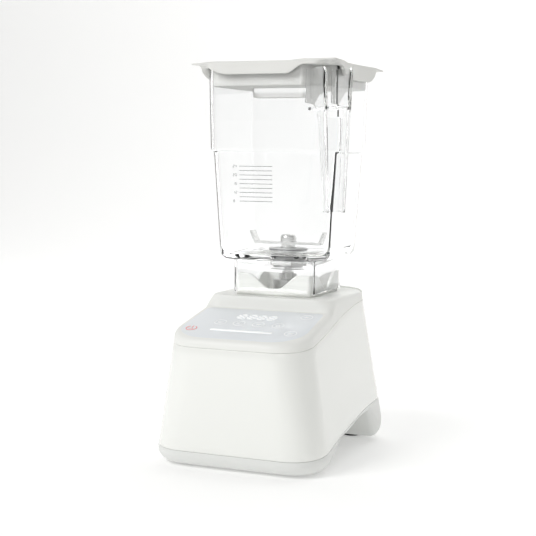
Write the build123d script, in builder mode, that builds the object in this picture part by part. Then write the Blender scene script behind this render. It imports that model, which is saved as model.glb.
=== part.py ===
"""Countertop blender with a square pitcher-type jar, a soft lid and a touch-panel base.

Millimetres, +Z up. The origin is on the floor under the middle of the base. +X is the user's
right, -Y is the front with the control deck. The jar and the motor share one vertical axis.
"""
import os
from math import cos, radians, sin, sqrt

from build123d import *

os.makedirs("parts", exist_ok=True)

# ---------------------------------------------------------------- driving dimensions
base_width = 178.0          # widest, at the floor
base_depth = 229.5
base_corner = 35.0          # plan radius of the base's corners
side_draft = 0.15           # the walls lean in, mm per mm of height
front_draft = 0.02
rear_draft = 0.09
shell_wall = 3.0
seam_gap = 0.5              # shadow line between two covers

tray_bottom = 2.0
tray_edge_round = 9.0
seam_front_z = 16.0         # seam between tray and housing, at the front
seam_rear_z = 43.8          # and at the rear
arch_start_y = -72.0        # hand arch along both sides of the tray
arch_end_y = 80.0
arch_front_z = 26.0
arch_rear_z = 35.0
pan_floor = 40.0            # flat floor that carries the motor
foot_radius = 9.0
foot_recess = 2.0
foot_inset = 38.0           # foot centre from the base's widest line
front_foot_y = -86.0
rear_foot_y = 89.0

band_front_z = 115.2        # seam between housing and top cover, at the front
band_rear_z = 147.0
deck_front_z = 123.6        # deck height at the front face
deck_slope = 0.225
deck_edge_round = 3.0
platform_top = 155.0
platform_front_y = -24.5
platform_corner = 20.0
platform_round = 4.0

panel_inset = 5.0
panel_thick = 1.4
panel_clear = 0.25
panel_gap = 3.5             # between the panel's rear edge and the platform
panel_rear_round = 6.0
display_y = 62.0            # up the deck from its front edge
display_width = 44.0
display_height = 11.0
slider_y = 27.0
slider_width = 66.0
slider_height = 4.0

axis_y = 30.5               # jar and motor axis

jar_wall = 3.2
jar_bottom = 191.0
jar_floor = 5.5
jar_half_bottom = 55.9      # half width outside, at the underside
jar_shoulder_z = 296.5
jar_half_below = 61.4
jar_half_above = 63.8
jar_shoulder_rise = 4.0
jar_rim_z = 381.0
jar_half_rim = 65.3
jar_corner = 16.0
jar_crease = 7.0
jar_edge_round = 8.0
jar_floor_round = 9.0
fifth_wall_bottom = 62.6    # distance of the cut corner's wall from the axis
fifth_wall_rim = 73.0
skirt_half = 43.3
skirt_corner = 7.0
skirt_wall = 2.4
skirt_lift = 3.0            # skirt's lower edge above the platform

handle_top = 376.5
handle_bridge_z = 336.5
handle_bottom = 242.0
handle_reach_top = 115.0
handle_reach_bottom = 111.5
handle_grip_depth = 10.5
handle_half_top = 15.5      # half the spread of the two cheeks, outside
handle_half_bottom = 9.7
handle_wall = 2.6

socket_clear = 0.6
socket_wall = 3.2
socket_floor = 3.0
socket_peak = 177.0
socket_valley = 162.5

lid_top = 386.0
lid_tip = 75.5              # corner tips, each way from the axis
lid_side = 70.5             # middle of a side
lid_apron_front = 372.0
lid_apron_side = 368.5
lid_tip_under = 380.0
tip_square = 33.0           # plan square cleared under each tip
visor_under = 380.5         # underside of the lid over the handle
lid_plug_bottom = 361.0
lid_plug_wall = 3.5
lid_plug_floor = 4.0
lid_clear = 0.5
lid_rim_gap = 0.4
lid_tip_round = 4.0
lid_top_round = 2.5
vent_ring = 22.0
vent_count = 6
vent_radius = 2.0

shaft_radius = 5.0          # motor shaft
blade_shaft_radius = 4.0
running = 0.05              # radial clearance of a running fit
bearing_radius = 11.0
bearing_height = 7.0
jar_bore = 15.0
dog_radius = 9.0
dog_top = 180.0
dog_bottom = 164.0
dog_clear = 0.4
drive_radius = 15.0
drive_top = 170.0
drive_bottom = 150.0
drive_hole = 22.0
slinger_radius = 18.0
slinger_z = 181.6
slinger_thick = 1.5
blade_reach = 41.0
blade_width = 17.0
blade_thick = 2.6
blade_z = 204.0
wing_rise = 13.0
wing_run = 6.0
cap_radius = 8.0
cap_height = 8.0
collar_gap = 0.5
dog_floor = 4.0
hub_below = 7.0             # bearing hub below the jar's underside
hub_flange = 2.6
hub_lap = 4.5
hub_nut_height = 4.5
gasket_thick = 0.8
jar_bearing_height = 6.0
seal_radius = 8.0

stator_width = 88.0
stator_bottom = 78.0
stator_top = 112.0
stator_bore = 27.0
rotor_gap = 0.7
bolt_offset = 36.0
bolt_radius = 2.3
bracket_radius = 56.0
bracket_thick = 4.0
lower_bracket_z = 44.0
upper_bracket_z = 136.0
coil_slot_depth = 8.0
coil_slot_width = 30.0
coil_spread = 13.0
coil_gap = 13.0
isolator_radius = 6.0
rotor_slots = 12
fan_blades = 9
fan_plate = 1.6
fan_eye = 24.0
brush_outer = 38.0
board_drop = 9.0            # control board below the deck's face
board_thick = 1.6
board_side_gap = 12.5        # inside the walls, each side of the control board
board_margin = 14.0
power_board_y = 100.0       # in front of the axis plane, towards the front wall
power_board_z = 78.0
power_side_gap = 14.0
power_board_height = 56.0
component_height = 18.0
recess_depth = 6.6
drive_floor = 3.0
dog_root = 6.0
switch_depth = 13.0
gland_depth = 12.0
cord_bore = 3.6
commutator_radius = 13.0
commutator_bottom = 58.5
commutator_top = 75.0
brush_z = 67.0
brush_width = 7.0
brush_height = 9.0
brush_gap = 0.4
fan_radius = 39.0
fan_bottom = 124.0
fan_top = 133.0
shroud_inner = 57.0
shroud_wall = 2.0
coil_height = 9.0

boot_clear = 1.2
boot_flange = 4.0
boot_flange_thick = 1.6
grille_radius = 30.0
grille_lap = 3.0
grille_pitch = 5.0
grille_slot = 26.0
grille_thick = 2.0
screw_radius = 1.9
screw_head = 3.6
screw_head_height = 2.6
screw_seat = 6.0
boss_radius = 5.0
boss_top = 72.0
boss_bottom = 56.0

switch_inset = 16.0         # from where the rear corner's round begins
switch_z = 66.0
switch_width = 15.0
switch_height = 21.0
switch_clear = 0.4
bezel_rim = 2.5
gland_inset = 16.0
gland_z = 66.0
gland_radius = 7.5


# ---------------------------------------------------------------- shared shapes
def half_width(z):
    """Half the base's width at height z."""
    return base_width / 2 - side_draft * z


def front_y(z):
    return -base_depth / 2 + front_draft * z


def rear_y(z):
    return base_depth / 2 - rear_draft * z


def deck_z(y):
    """Height of the control deck's plane at depth y."""
    return deck_front_z + deck_slope * (y - front_y(deck_front_z))


def base_section(z, inset=0.0):
    """Rounded rectangle of the base's outline at height z, drawn inset."""
    with BuildSketch(Plane.XY.offset(z)) as outline:
        with Locations((0, (front_y(z) + rear_y(z)) / 2)):
            RectangleRounded(
                2 * (half_width(z) - inset),
                rear_y(z) - front_y(z) - 2 * inset,
                base_corner - inset,
            )
    return outline.sketch


def base_loft(low, high, inset=0.0, mode=Mode.ADD):
    loft([base_section(low, inset), base_section(high, inset)], mode=mode)


board_width = 2 * (half_width(deck_front_z) - shell_wall - board_side_gap)
power_board_top = power_board_z + power_board_height / 2
power_board_width = 2 * (half_width(power_board_top) - shell_wall - power_side_gap)
switch_x = half_width(switch_z) - base_corner - switch_inset
gland_x = -half_width(gland_z) + base_corner + gland_inset


def tray_seam(shift=0.0):
    """Side view of the seam that rises from the front to the rear of the tray."""
    rise = seam_rear_z - seam_front_z
    steps = ((-150, 0.0), (-98, 0.05), (-29, 0.52), (29, 0.83), (75, 0.97), (150, 1.0))
    return [(y, seam_front_z + rise * part + shift) for y, part in steps]


def band_seam(shift=0.0):
    """Side view of the seam between the housing and the top cover."""
    rise = band_rear_z - band_front_z
    steps = ((-150, 0.0), (-100, 0.03), (-58, 0.25), (16, 0.77), (72, 0.98), (150, 1.0))
    return [(y, band_front_z + rise * part + shift) for y, part in steps]


def side_slab(low_points, high_points, mode):
    """Slab across the whole width whose side view lies between two smooth lines."""
    with BuildSketch(Plane.YZ) as side_view:
        with BuildLine():
            low = Spline(*low_points)
            high = Spline(*high_points)
            Line(low @ 0, high @ 0)
            Line(low @ 1, high @ 1)
        make_face()
    extrude(side_view.sketch, amount=base_width, both=True, mode=mode)


def corner_point(z, inward):
    """Point beside the base's rounded corner, that far inside the outer face (+X, front)."""
    reach = (base_corner - inward) / sqrt(2)
    return half_width(z) - base_corner + reach, front_y(z) + base_corner - reach


def rear_corner_point(z, inward):
    reach = (base_corner - inward) / sqrt(2)
    return half_width(z) - base_corner + reach, rear_y(z) - base_corner + reach


def four_corners(z, inward):
    x, front = corner_point(z, inward)
    rear = rear_corner_point(z, inward)[1]
    return [(-x, front), (x, front), (-x, rear), (x, rear)]


def foot_centres():
    """Rubber feet, inboard of the tray's rounded edge."""
    x = base_width / 2 - foot_inset
    return [(sx * x, y) for sx in (-1, 1) for y in (front_foot_y, rear_foot_y)]


def motor_corners():
    """The four bolt centres round the motor's axis."""
    signs = ((-1, -1), (1, -1), (1, 1), (-1, 1))
    return [(sx * bolt_offset, axis_y + sy * bolt_offset) for sx, sy in signs]


def jar_half(z):
    """Half the jar's outside width at height z, with the shoulder."""
    if z <= jar_shoulder_z:
        part = (z - jar_bottom) / (jar_shoulder_z - jar_bottom)
        return jar_half_bottom + part * (jar_half_below - jar_half_bottom)
    start = jar_shoulder_z + jar_shoulder_rise
    if z < start:
        part = (z - jar_shoulder_z) / jar_shoulder_rise
        return jar_half_below + part * (jar_half_above - jar_half_below)
    part = (z - start) / (jar_rim_z - start)
    return jar_half_above + part * (jar_half_rim - jar_half_above)


def fifth_wall(z):
    """Distance of the cut corner's wall from the axis at height z."""
    part = (z - jar_bottom) / (jar_rim_z - jar_bottom)
    return fifth_wall_bottom + part * (fifth_wall_rim - fifth_wall_bottom)


def jar_section(z, inset):
    """Square with round corners, and one corner cut off by the fifth wall."""
    half = jar_half(z) - inset
    cut = (fifth_wall(z) - inset) * sqrt(2) - half
    corner = max(jar_corner - inset, 2.0)
    crease = max(jar_crease - inset / 2, 2.0)
    points = [(-half, -half), (cut, -half), (half, -cut), (half, half), (-half, half)]
    radii = [corner, crease, crease, corner, corner]
    with BuildSketch(Plane((0, axis_y, z))) as outline:
        with BuildLine():
            FilletPolyline(*points, radius=radii, close=True)
        make_face()
    return outline.sketch


def jar_loft(levels, inset, mode=Mode.ADD):
    loft([jar_section(z, inset) for z in levels], ruled=True, mode=mode)


def jar_levels(low, high):
    """Heights at which the jar's walls change slope, between two ends."""
    inner = (jar_shoulder_z, jar_shoulder_z + jar_shoulder_rise)
    return [low] + [z for z in inner if low < z < high] + [high]


def star(radius, root, points=6):
    """Star-shaped face for the drive dog and its socket."""
    corners = []
    for i in range(points):
        for turn, r in ((-0.22, radius), (0.22, radius), (0.38, root), (0.62, root)):
            a = radians(360 / points * (i + turn))
            corners.append((r * cos(a), r * sin(a)))
    with BuildSketch() as outline:
        with BuildLine():
            Polyline(*corners, close=True)
        make_face()
    return outline.sketch


deck_normal = Vector(0, -deck_slope, 1).normalized()


def on_deck(edge):
    """True for an edge that lies in the deck's plane."""
    return abs(deck_plane.to_local_coords(edge.center()).Z) < 0.01


deck_plane = Plane(
    origin=(0, front_y(deck_front_z), deck_front_z), x_dir=(1, 0, 0), z_dir=deck_normal
)
deck_length = (platform_front_y - front_y(deck_front_z)) / deck_normal.Z


# ---------------------------------------------------------------- base shells
with BuildPart() as housing:
    base_loft(0, platform_top)
    base_loft(0, platform_top, shell_wall, Mode.SUBTRACT)
    side_slab(tray_seam(seam_gap / 2), band_seam(-seam_gap / 2), Mode.INTERSECT)
    with BuildSketch(Plane.XY.offset(boss_bottom)):
        with Locations(*four_corners(boss_top, shell_wall + boss_radius - 1)):
            Circle(boss_radius)
            Circle(screw_radius, mode=Mode.SUBTRACT)
    extrude(amount=boss_top - boss_bottom)
    with BuildSketch(Plane.XZ.offset(-rear_y(switch_z))):
        with Locations((switch_x, switch_z)):
            Rectangle(switch_width + 2 * bezel_rim, switch_height + 2 * bezel_rim)
        with Locations((gland_x, gland_z)):
            Circle(gland_radius)
    extrude(amount=4 * shell_wall, both=True, mode=Mode.SUBTRACT)
housing.part.label = "housing"
export_step(housing.part, "parts/housing.step")


def platform_section(z, inset):
    """Outline of the raised platform, which reaches past the rear of the base."""
    depth = base_depth / 2 + base_corner - platform_front_y - inset
    with BuildSketch(Plane.XY.offset(z)) as outline:
        with Locations((0, platform_front_y + inset + depth / 2)):
            RectangleRounded(2 * (half_width(z) - inset), depth, platform_corner)
    return outline.sketch


def deck_wedge(inset):
    """Block under the control deck, trimmed to the base's outline."""
    back = platform_front_y + platform_corner + inset
    with BuildSketch(Plane.YZ) as wedge:
        with BuildLine():
            Polyline(
                (-150, 90),
                (-150, deck_z(-150) - inset),
                (back, deck_z(back) - inset),
                (back, 90),
                close=True,
            )
        make_face()
    extrude(wedge.sketch, amount=base_width, both=True)
    base_loft(90, platform_top, inset, Mode.INTERSECT)


def platform_mass(inset):
    """Raised platform behind the deck, flush with the base's sides and rear."""
    top = platform_top - inset
    loft([platform_section(z, inset) for z in (90, top)])
    base_loft(90, top, inset, Mode.INTERSECT)


with BuildPart() as wedge_core:
    deck_wedge(shell_wall)

with BuildPart() as platform_core:
    platform_mass(shell_wall)

with BuildPart() as platform:
    platform_mass(0.0)
    fillet(platform.faces().sort_by(Axis.Z)[-1].edges(), platform_round)

def panel_outline(inset):
    """Panel's face on the deck's own plane, which tapers with the walls."""
    near = panel_inset + inset
    far = deck_length - panel_gap - inset
    front_half = half_width(deck_front_z) - panel_inset - inset
    rear_half = half_width(deck_z(platform_front_y)) - panel_inset - inset
    points = [(-front_half, near), (front_half, near), (rear_half, far), (-rear_half, far)]
    front_round = base_corner - panel_inset - inset
    radii = [front_round, front_round, panel_rear_round, panel_rear_round]
    with BuildSketch(deck_plane) as outline:
        with BuildLine():
            FilletPolyline(*points, radius=radii, close=True)
        make_face()
    return outline.sketch


with BuildPart() as top_cover:
    deck_wedge(0.0)
    rim_edges = top_cover.edges().filter_by(lambda edge: on_deck(edge) and edge.center().Y < -6)
    fillet(rim_edges, deck_edge_round)
    add(platform.part)
    side_slab(band_seam(seam_gap / 2), [(-150, 300), (0, 300), (150, 300)], Mode.INTERSECT)
    add(wedge_core.part, mode=Mode.SUBTRACT)
    add(platform_core.part, mode=Mode.SUBTRACT)
    extrude(panel_outline(-panel_clear), amount=-panel_thick, mode=Mode.SUBTRACT)
    with BuildSketch(deck_plane.offset(-panel_thick)) as window:
        with Locations((0, display_y)):
            Rectangle(display_width, display_height)
        with Locations((0, slider_y)):
            Rectangle(slider_width, slider_height)
    extrude(amount=-2 * shell_wall, mode=Mode.SUBTRACT)
    with BuildSketch(Plane((0, axis_y, platform_top))):
        Circle(drive_hole)
    extrude(amount=-2 * shell_wall, mode=Mode.SUBTRACT)
top_cover.part.label = "top_cover"
export_step(top_cover.part, "parts/top_cover.step")

with BuildPart() as touch_panel:
    extrude(panel_outline(0.0), amount=-panel_thick)
    fillet(touch_panel.edges().filter_by(lambda edge: on_deck(edge)), 0.4)
touch_panel.part.label = "touch_panel"
export_step(touch_panel.part, "parts/touch_panel.step")

socket_half = skirt_half - skirt_wall - socket_clear
socket_corner = skirt_corner - skirt_wall - socket_clear


def wave_cut(plane):
    """Cut away everything above a line that dips in the middle of two opposite walls."""
    dip = socket_peak - socket_valley
    shoulder = socket_half - skirt_corner
    points = [
        (-socket_half - 2, socket_peak - 1),
        (-shoulder, socket_peak),
        (-shoulder / 2, socket_peak - dip * 0.62),
        (0, socket_valley),
        (shoulder / 2, socket_peak - dip * 0.62),
        (shoulder, socket_peak),
        (socket_half + 2, socket_peak - 1),
    ]
    with BuildSketch(plane) as side_view:
        with BuildLine():
            wave = Spline(*points)
            high = Line((-socket_half - 2, 250), (socket_half + 2, 250))
            Line(wave @ 0, high @ 0)
            Line(wave @ 1, high @ 1)
        make_face()
    extrude(side_view.sketch, amount=base_width, both=True, mode=Mode.SUBTRACT)


with BuildPart() as jar_socket:
    with BuildSketch(Plane((0, axis_y, platform_top))):
        RectangleRounded(2 * socket_half, 2 * socket_half, socket_corner)
    extrude(amount=socket_peak - platform_top + 5)
    with BuildSketch(Plane((0, axis_y, platform_top + socket_floor))):
        inner = socket_half - socket_wall
        RectangleRounded(2 * inner, 2 * inner, socket_corner - socket_wall / 2)
    extrude(amount=socket_peak, mode=Mode.SUBTRACT)
    wave_cut(Plane.XZ)
    wave_cut(Plane((0, axis_y, 0), x_dir=(0, 1, 0), z_dir=(1, 0, 0)))
    with BuildSketch(Plane((0, axis_y, platform_top))):
        Circle(drive_hole)
    extrude(amount=2 * socket_floor, mode=Mode.SUBTRACT)
jar_socket.part.label = "jar_socket"
export_step(jar_socket.part, "parts/jar_socket.step")

with BuildPart() as drive_boot:
    with BuildSketch(Plane((0, axis_y, platform_top - shell_wall))):
        Circle(drive_hole)
        Circle(drive_radius + boot_clear, mode=Mode.SUBTRACT)
    extrude(amount=shell_wall + socket_floor)
    with BuildSketch(Plane((0, axis_y, platform_top + socket_floor))):
        Circle(drive_hole + boot_flange)
        Circle(drive_radius + boot_clear, mode=Mode.SUBTRACT)
    extrude(amount=boot_flange_thick)
    chamfer(drive_boot.edges().sort_by(Axis.Z)[-1], boot_flange_thick / 2)
drive_boot.part.label = "drive_boot"
export_step(drive_boot.part, "parts/drive_boot.step")


# ---------------------------------------------------------------- base underside
def arch_points():
    """Underside of the tray in side view, from the front lobe to the rear lobe."""
    rise = arch_rear_z - arch_front_z
    return [
        (arch_start_y, -1.0),
        (arch_start_y + 6, 12.0),
        (arch_start_y + 16, arch_front_z - 6.5),
        (arch_start_y + 42, arch_front_z),
        (0.0, arch_front_z + rise * 0.25),
        (20.0, arch_front_z + rise * 0.75),
        (arch_end_y - 34, arch_rear_z),
        (arch_end_y - 18, 14.0),
        (arch_end_y, -1.0),
    ]


def pan_points():
    """Inside floor of the tray in side view."""
    lobe = tray_bottom + shell_wall
    return [
        (-150, lobe),
        (arch_start_y - 4, lobe),
        (arch_start_y + 12, arch_front_z),
        (arch_start_y + 42, arch_front_z + shell_wall + 2),
        (axis_y - bolt_offset - 16, arch_front_z + shell_wall + 3),
        (axis_y - bolt_offset - 7, pan_floor),
        (axis_y + bolt_offset + 7, pan_floor),
        (arch_end_y + 4, lobe),
        (150, lobe),
        (150, 300),
        (-150, 300),
    ]


def side_cut(points):
    with BuildSketch(Plane.YZ) as side_view:
        with BuildLine():
            Polyline(*points, close=True)
        make_face()
    extrude(side_view.sketch, amount=base_width, both=True, mode=Mode.SUBTRACT)


with BuildPart() as tray_core:
    base_loft(0, platform_top, shell_wall)
    side_slab([(-150, 0), (0, 0), (150, 0)], [(-150, 150), (0, 150), (150, 150)], Mode.INTERSECT)
    below_pan = [(-150, -50), (150, -50)] + pan_points()[8::-1]
    side_cut(below_pan)

with BuildPart() as base_tray:
    base_loft(tray_bottom, platform_top)
    side_slab([(-150, -9), (0, -9), (150, -9)], tray_seam(-seam_gap / 2), Mode.INTERSECT)
    fillet(base_tray.faces().sort_by(Axis.Z)[0].edges(), tray_edge_round)
    side_cut(arch_points())
    add(tray_core.part, mode=Mode.SUBTRACT)
    with BuildSketch(Plane.XY.offset(tray_bottom)):
        with Locations(*four_corners(boss_top, shell_wall + boss_radius - 1)):
            Circle(boss_radius)
    extrude(amount=boss_bottom - tray_bottom - seam_gap)
    with BuildSketch(Plane.XY):
        with Locations(*four_corners(boss_top, shell_wall + boss_radius - 1)):
            Circle(screw_radius + 0.2)
    extrude(amount=boss_bottom, mode=Mode.SUBTRACT)
    with BuildSketch(Plane.XY):
        with Locations(*four_corners(boss_top, shell_wall + boss_radius - 1)):
            Circle(screw_head + 0.3)
    extrude(amount=screw_seat, mode=Mode.SUBTRACT)
    with BuildSketch(Plane.XY):
        with Locations(*foot_centres()):
            Circle(foot_radius)
    extrude(amount=tray_bottom + foot_recess, mode=Mode.SUBTRACT)
    with BuildSketch(Plane((0, axis_y, 0))):
        Circle(grille_radius - grille_lap)
    extrude(amount=pan_floor + 1, mode=Mode.SUBTRACT)
base_tray.part.label = "base_tray"
export_step(base_tray.part, "parts/base_tray.step")

with BuildPart() as intake_grille:
    with BuildSketch(Plane((0, axis_y, pan_floor))):
        Circle(grille_radius)
        with Locations(*[(i * grille_pitch, 0) for i in range(-5, 6)]):
            SlotOverall(grille_slot, grille_pitch / 2, rotation=90, mode=Mode.SUBTRACT)
    extrude(amount=grille_thick)
intake_grille.part.label = "intake_grille"
export_step(intake_grille.part, "parts/intake_grille.step")

with BuildPart() as feet:
    with BuildSketch(Plane.XY):
        with Locations(*foot_centres()):
            Circle(foot_radius)
    extrude(amount=tray_bottom + foot_recess)
    chamfer(feet.edges().group_by(Axis.Z)[0], 0.8)
feet.part.label = "feet"
export_step(feet.part, "parts/feet.step")

with BuildPart() as housing_screws:
    with BuildSketch(Plane.XY.offset(screw_seat)):
        with Locations(*four_corners(boss_top, shell_wall + boss_radius - 1)):
            Circle(screw_radius)
    extrude(amount=boss_top - 2 - screw_seat)
    with BuildSketch(Plane.XY.offset(screw_seat - screw_head_height)):
        with Locations(*four_corners(boss_top, shell_wall + boss_radius - 1)):
            Circle(screw_head)
            RegularPolygon(screw_radius * 0.8, 6, mode=Mode.SUBTRACT)
    extrude(amount=screw_head_height)
housing_screws.part.label = "housing_screws"
export_step(housing_screws.part, "parts/housing_screws.step")


# ---------------------------------------------------------------- controls and wiring boards
with BuildPart() as display_module:
    with BuildSketch(deck_plane.offset(-panel_thick - 0.4)):
        with Locations((0, display_y)):
            Rectangle(display_width - 1, display_height - 1)
    extrude(amount=-board_drop + panel_thick + 0.8)
display_module.part.label = "display_module"
export_step(display_module.part, "parts/display_module.step")

with BuildPart() as light_bar:
    with BuildSketch(deck_plane.offset(-panel_thick - 0.4)):
        with Locations((0, slider_y)):
            RectangleRounded(slider_width - 1, slider_height - 0.6, 1.5)
    extrude(amount=-board_drop + panel_thick + 0.8)
light_bar.part.label = "light_bar"
export_step(light_bar.part, "parts/light_bar.step")

with BuildPart() as control_board:
    with BuildSketch(deck_plane.offset(-board_drop)):
        with Locations((0, deck_length / 2)):
            RectangleRounded(board_width, deck_length - 2 * board_margin, 3)
        with Locations((0, deck_length / 2)):
            with GridLocations(board_width - 10, deck_length - 2 * board_margin - 10, 2, 2):
                Circle(screw_radius, mode=Mode.SUBTRACT)
    extrude(amount=-board_thick)
control_board.part.label = "control_board"
export_step(control_board.part, "parts/control_board.step")

with BuildPart() as power_board:
    board_face = Plane.XZ.offset(power_board_y)
    with BuildSketch(board_face):
        with Locations((0, power_board_z)):
            RectangleRounded(power_board_width, power_board_height, 3)
    extrude(amount=-board_thick)
    with BuildSketch(Plane.XZ.offset(power_board_y - board_thick)):
        with Locations((-30, power_board_z + 6), (-8, power_board_z + 6)):
            Rectangle(16, 22)
        with Locations((18, power_board_z + 2)):
            Circle(8)
        with Locations((38, power_board_z - 4)):
            Rectangle(12, 20)
    extrude(amount=-component_height)
power_board.part.label = "power_board"
export_step(power_board.part, "parts/power_board.step")


# ---------------------------------------------------------------- motor
def axis_plane(z):
    """Level plane centred on the shared axis."""
    return Plane((0, axis_y, z))


def bracket(plate_z, hub_z, hub_height):
    """Round end bracket with a bearing seat, four bolt holes and four windows."""
    with BuildSketch(axis_plane(plate_z)) as plate:
        Circle(bracket_radius)
        with PolarLocations(bracket_radius * 0.62, 4):
            Circle(bracket_radius * 0.22, mode=Mode.SUBTRACT)
        with PolarLocations(bolt_offset * sqrt(2), 4, start_angle=45):
            Circle(bolt_radius + 0.2, mode=Mode.SUBTRACT)
    extrude(plate.sketch, amount=bracket_thick)
    with BuildSketch(axis_plane(hub_z)) as hub:
        Circle(bearing_radius + 3.5)
    extrude(hub.sketch, amount=hub_height)


lower_seat = lower_bracket_z + 2.0
upper_seat = upper_bracket_z + bracket_thick - 1.0

with BuildPart() as lower_bracket:
    bracket(lower_bracket_z, lower_bracket_z, bearing_height + 3)
    with BuildSketch(axis_plane(lower_seat)):
        Circle(bearing_radius)
    extrude(amount=3 * bearing_height, mode=Mode.SUBTRACT)
lower_bracket.part.label = "lower_bracket"
export_step(lower_bracket.part, "parts/lower_bracket.step")

with BuildPart() as upper_bracket:
    bracket(upper_bracket_z, upper_bracket_z, bearing_height + 4)
    with BuildSketch(axis_plane(upper_seat)):
        Circle(bearing_radius)
    extrude(amount=3 * bearing_height, mode=Mode.SUBTRACT)
    with BuildSketch(axis_plane(upper_bracket_z - 1)):
        Circle(shaft_radius + 2.5)
    extrude(amount=3 * bearing_height, mode=Mode.SUBTRACT)
upper_bracket.part.label = "upper_bracket"
export_step(upper_bracket.part, "parts/upper_bracket.step")


def bearing_rings(plane, bore):
    """Ball bearing, outer race to bore, as one closed ring with shield grooves."""
    with BuildSketch(plane) as ring:
        Circle(bearing_radius)
        Circle(bore, mode=Mode.SUBTRACT)
    extrude(ring.sketch, amount=bearing_height)
    with BuildSketch(plane.offset(bearing_height - 0.6)) as groove:
        Circle(bearing_radius - 1.8)
        Circle(bore + 1.8, mode=Mode.SUBTRACT)
    extrude(groove.sketch, amount=1, mode=Mode.SUBTRACT)


with BuildPart() as motor_bearings:
    bearing_rings(axis_plane(lower_seat), shaft_radius + running)
    bearing_rings(axis_plane(upper_seat), shaft_radius + running)
motor_bearings.part.label = "motor_bearings"
export_step(motor_bearings.part, "parts/motor_bearings.step")

with BuildPart() as stator_core:
    with BuildSketch(axis_plane(stator_bottom)):
        RectangleRounded(stator_width, stator_width, stator_width * 0.23)
        Circle(stator_bore, mode=Mode.SUBTRACT)
        with Locations((-stator_bore - 3, 0), (stator_bore + 3, 0)):
            Rectangle(coil_slot_depth, coil_slot_width, mode=Mode.SUBTRACT)
        with PolarLocations(bolt_offset * sqrt(2), 4, start_angle=45):
            Circle(bolt_radius + 0.2, mode=Mode.SUBTRACT)
    extrude(amount=stator_top - stator_bottom)
stator_core.part.label = "stator_core"
export_step(stator_core.part, "parts/stator_core.step")

with BuildPart() as field_coils:
    for z in (stator_bottom - coil_height, stator_top):
        with BuildSketch(axis_plane(z)):
            Circle(stator_bore + coil_spread)
            Circle(stator_bore + 1, mode=Mode.SUBTRACT)
            Rectangle(3 * stator_bore, coil_gap, mode=Mode.SUBTRACT)
        extrude(amount=coil_height)
    fillet(field_coils.edges().filter_by(GeomType.CIRCLE), 2.5)
field_coils.part.label = "field_coils"
export_step(field_coils.part, "parts/field_coils.step")

with BuildPart() as brush_holders:
    with BuildSketch(Plane((0, axis_y, brush_z), x_dir=(0, 1, 0), z_dir=(1, 0, 0))):
        Rectangle(brush_width + 3, brush_height + 3)
        Rectangle(brush_width + 0.4, brush_height + 0.4, mode=Mode.SUBTRACT)
    extrude(amount=brush_outer, both=True)
    with BuildSketch(axis_plane(stator_bottom - coil_height - 12)):
        Circle(commutator_radius + 3)
    extrude(amount=40, mode=Mode.SUBTRACT)
    with BuildSketch(Plane((brush_outer, axis_y, brush_z), x_dir=(0, 1, 0), z_dir=(1, 0, 0))):
        Rectangle(brush_width + 3, brush_height + 3)
    extrude(amount=1.5)
    with BuildSketch(Plane((-brush_outer, axis_y, brush_z), x_dir=(0, 1, 0), z_dir=(1, 0, 0))):
        Rectangle(brush_width + 3, brush_height + 3)
    extrude(amount=-1.5)
brush_holders.part.label = "brush_holders"
export_step(brush_holders.part, "parts/brush_holders.step")

with BuildPart() as brushes:
    with BuildSketch(Plane((0, axis_y, brush_z), x_dir=(0, 1, 0), z_dir=(1, 0, 0))):
        Rectangle(brush_width, brush_height)
    extrude(amount=brush_outer - 6, both=True)
    with BuildSketch(axis_plane(stator_bottom - coil_height - 12)):
        Circle(commutator_radius + brush_gap)
    extrude(amount=40, mode=Mode.SUBTRACT)
brushes.part.label = "brushes"
export_step(brushes.part, "parts/brushes.step")

with BuildPart() as motor_shroud:
    with BuildSketch(axis_plane(stator_bottom - coil_height)):
        Circle(shroud_inner + shroud_wall)
        Circle(shroud_inner, mode=Mode.SUBTRACT)
    extrude(amount=upper_bracket_z - stator_bottom + coil_height - 1)
    with BuildSketch(axis_plane(fan_top + 0.4)):
        Circle(shroud_inner + shroud_wall)
        Circle(fan_eye, mode=Mode.SUBTRACT)
        with PolarLocations(bolt_offset * sqrt(2), 4, start_angle=45):
            Circle(bolt_radius + 0.3, mode=Mode.SUBTRACT)
    extrude(amount=shroud_wall)
motor_shroud.part.label = "motor_shroud"
export_step(motor_shroud.part, "parts/motor_shroud.step")

with BuildPart() as motor_bolts:
    with BuildSketch(Plane.XY.offset(lower_bracket_z)):
        with Locations(*motor_corners()):
            Circle(bolt_radius)
    extrude(amount=upper_bracket_z + bracket_thick - lower_bracket_z)
    with BuildSketch(Plane.XY.offset(upper_bracket_z + bracket_thick)):
        with Locations(*motor_corners()):
            RegularPolygon(bolt_radius * 1.8, 6)
    extrude(amount=bolt_radius * 1.4)
motor_bolts.part.label = "motor_bolts"
export_step(motor_bolts.part, "parts/motor_bolts.step")

with BuildPart() as motor_isolators:
    with BuildSketch(Plane.XY.offset(pan_floor)):
        with Locations(*motor_corners()):
            Circle(isolator_radius)
            Circle(bolt_radius, mode=Mode.SUBTRACT)
    extrude(amount=lower_bracket_z - pan_floor)
motor_isolators.part.label = "motor_isolators"
export_step(motor_isolators.part, "parts/motor_isolators.step")

with BuildPart() as motor_shaft:
    with BuildSketch(axis_plane(lower_seat + 0.4)):
        Circle(shaft_radius)
    extrude(amount=drive_top - recess_depth - drive_floor - lower_seat - 0.4)
    chamfer(motor_shaft.edges().filter_by(GeomType.CIRCLE), 0.6)
motor_shaft.part.label = "motor_shaft"
export_step(motor_shaft.part, "parts/motor_shaft.step")

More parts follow.
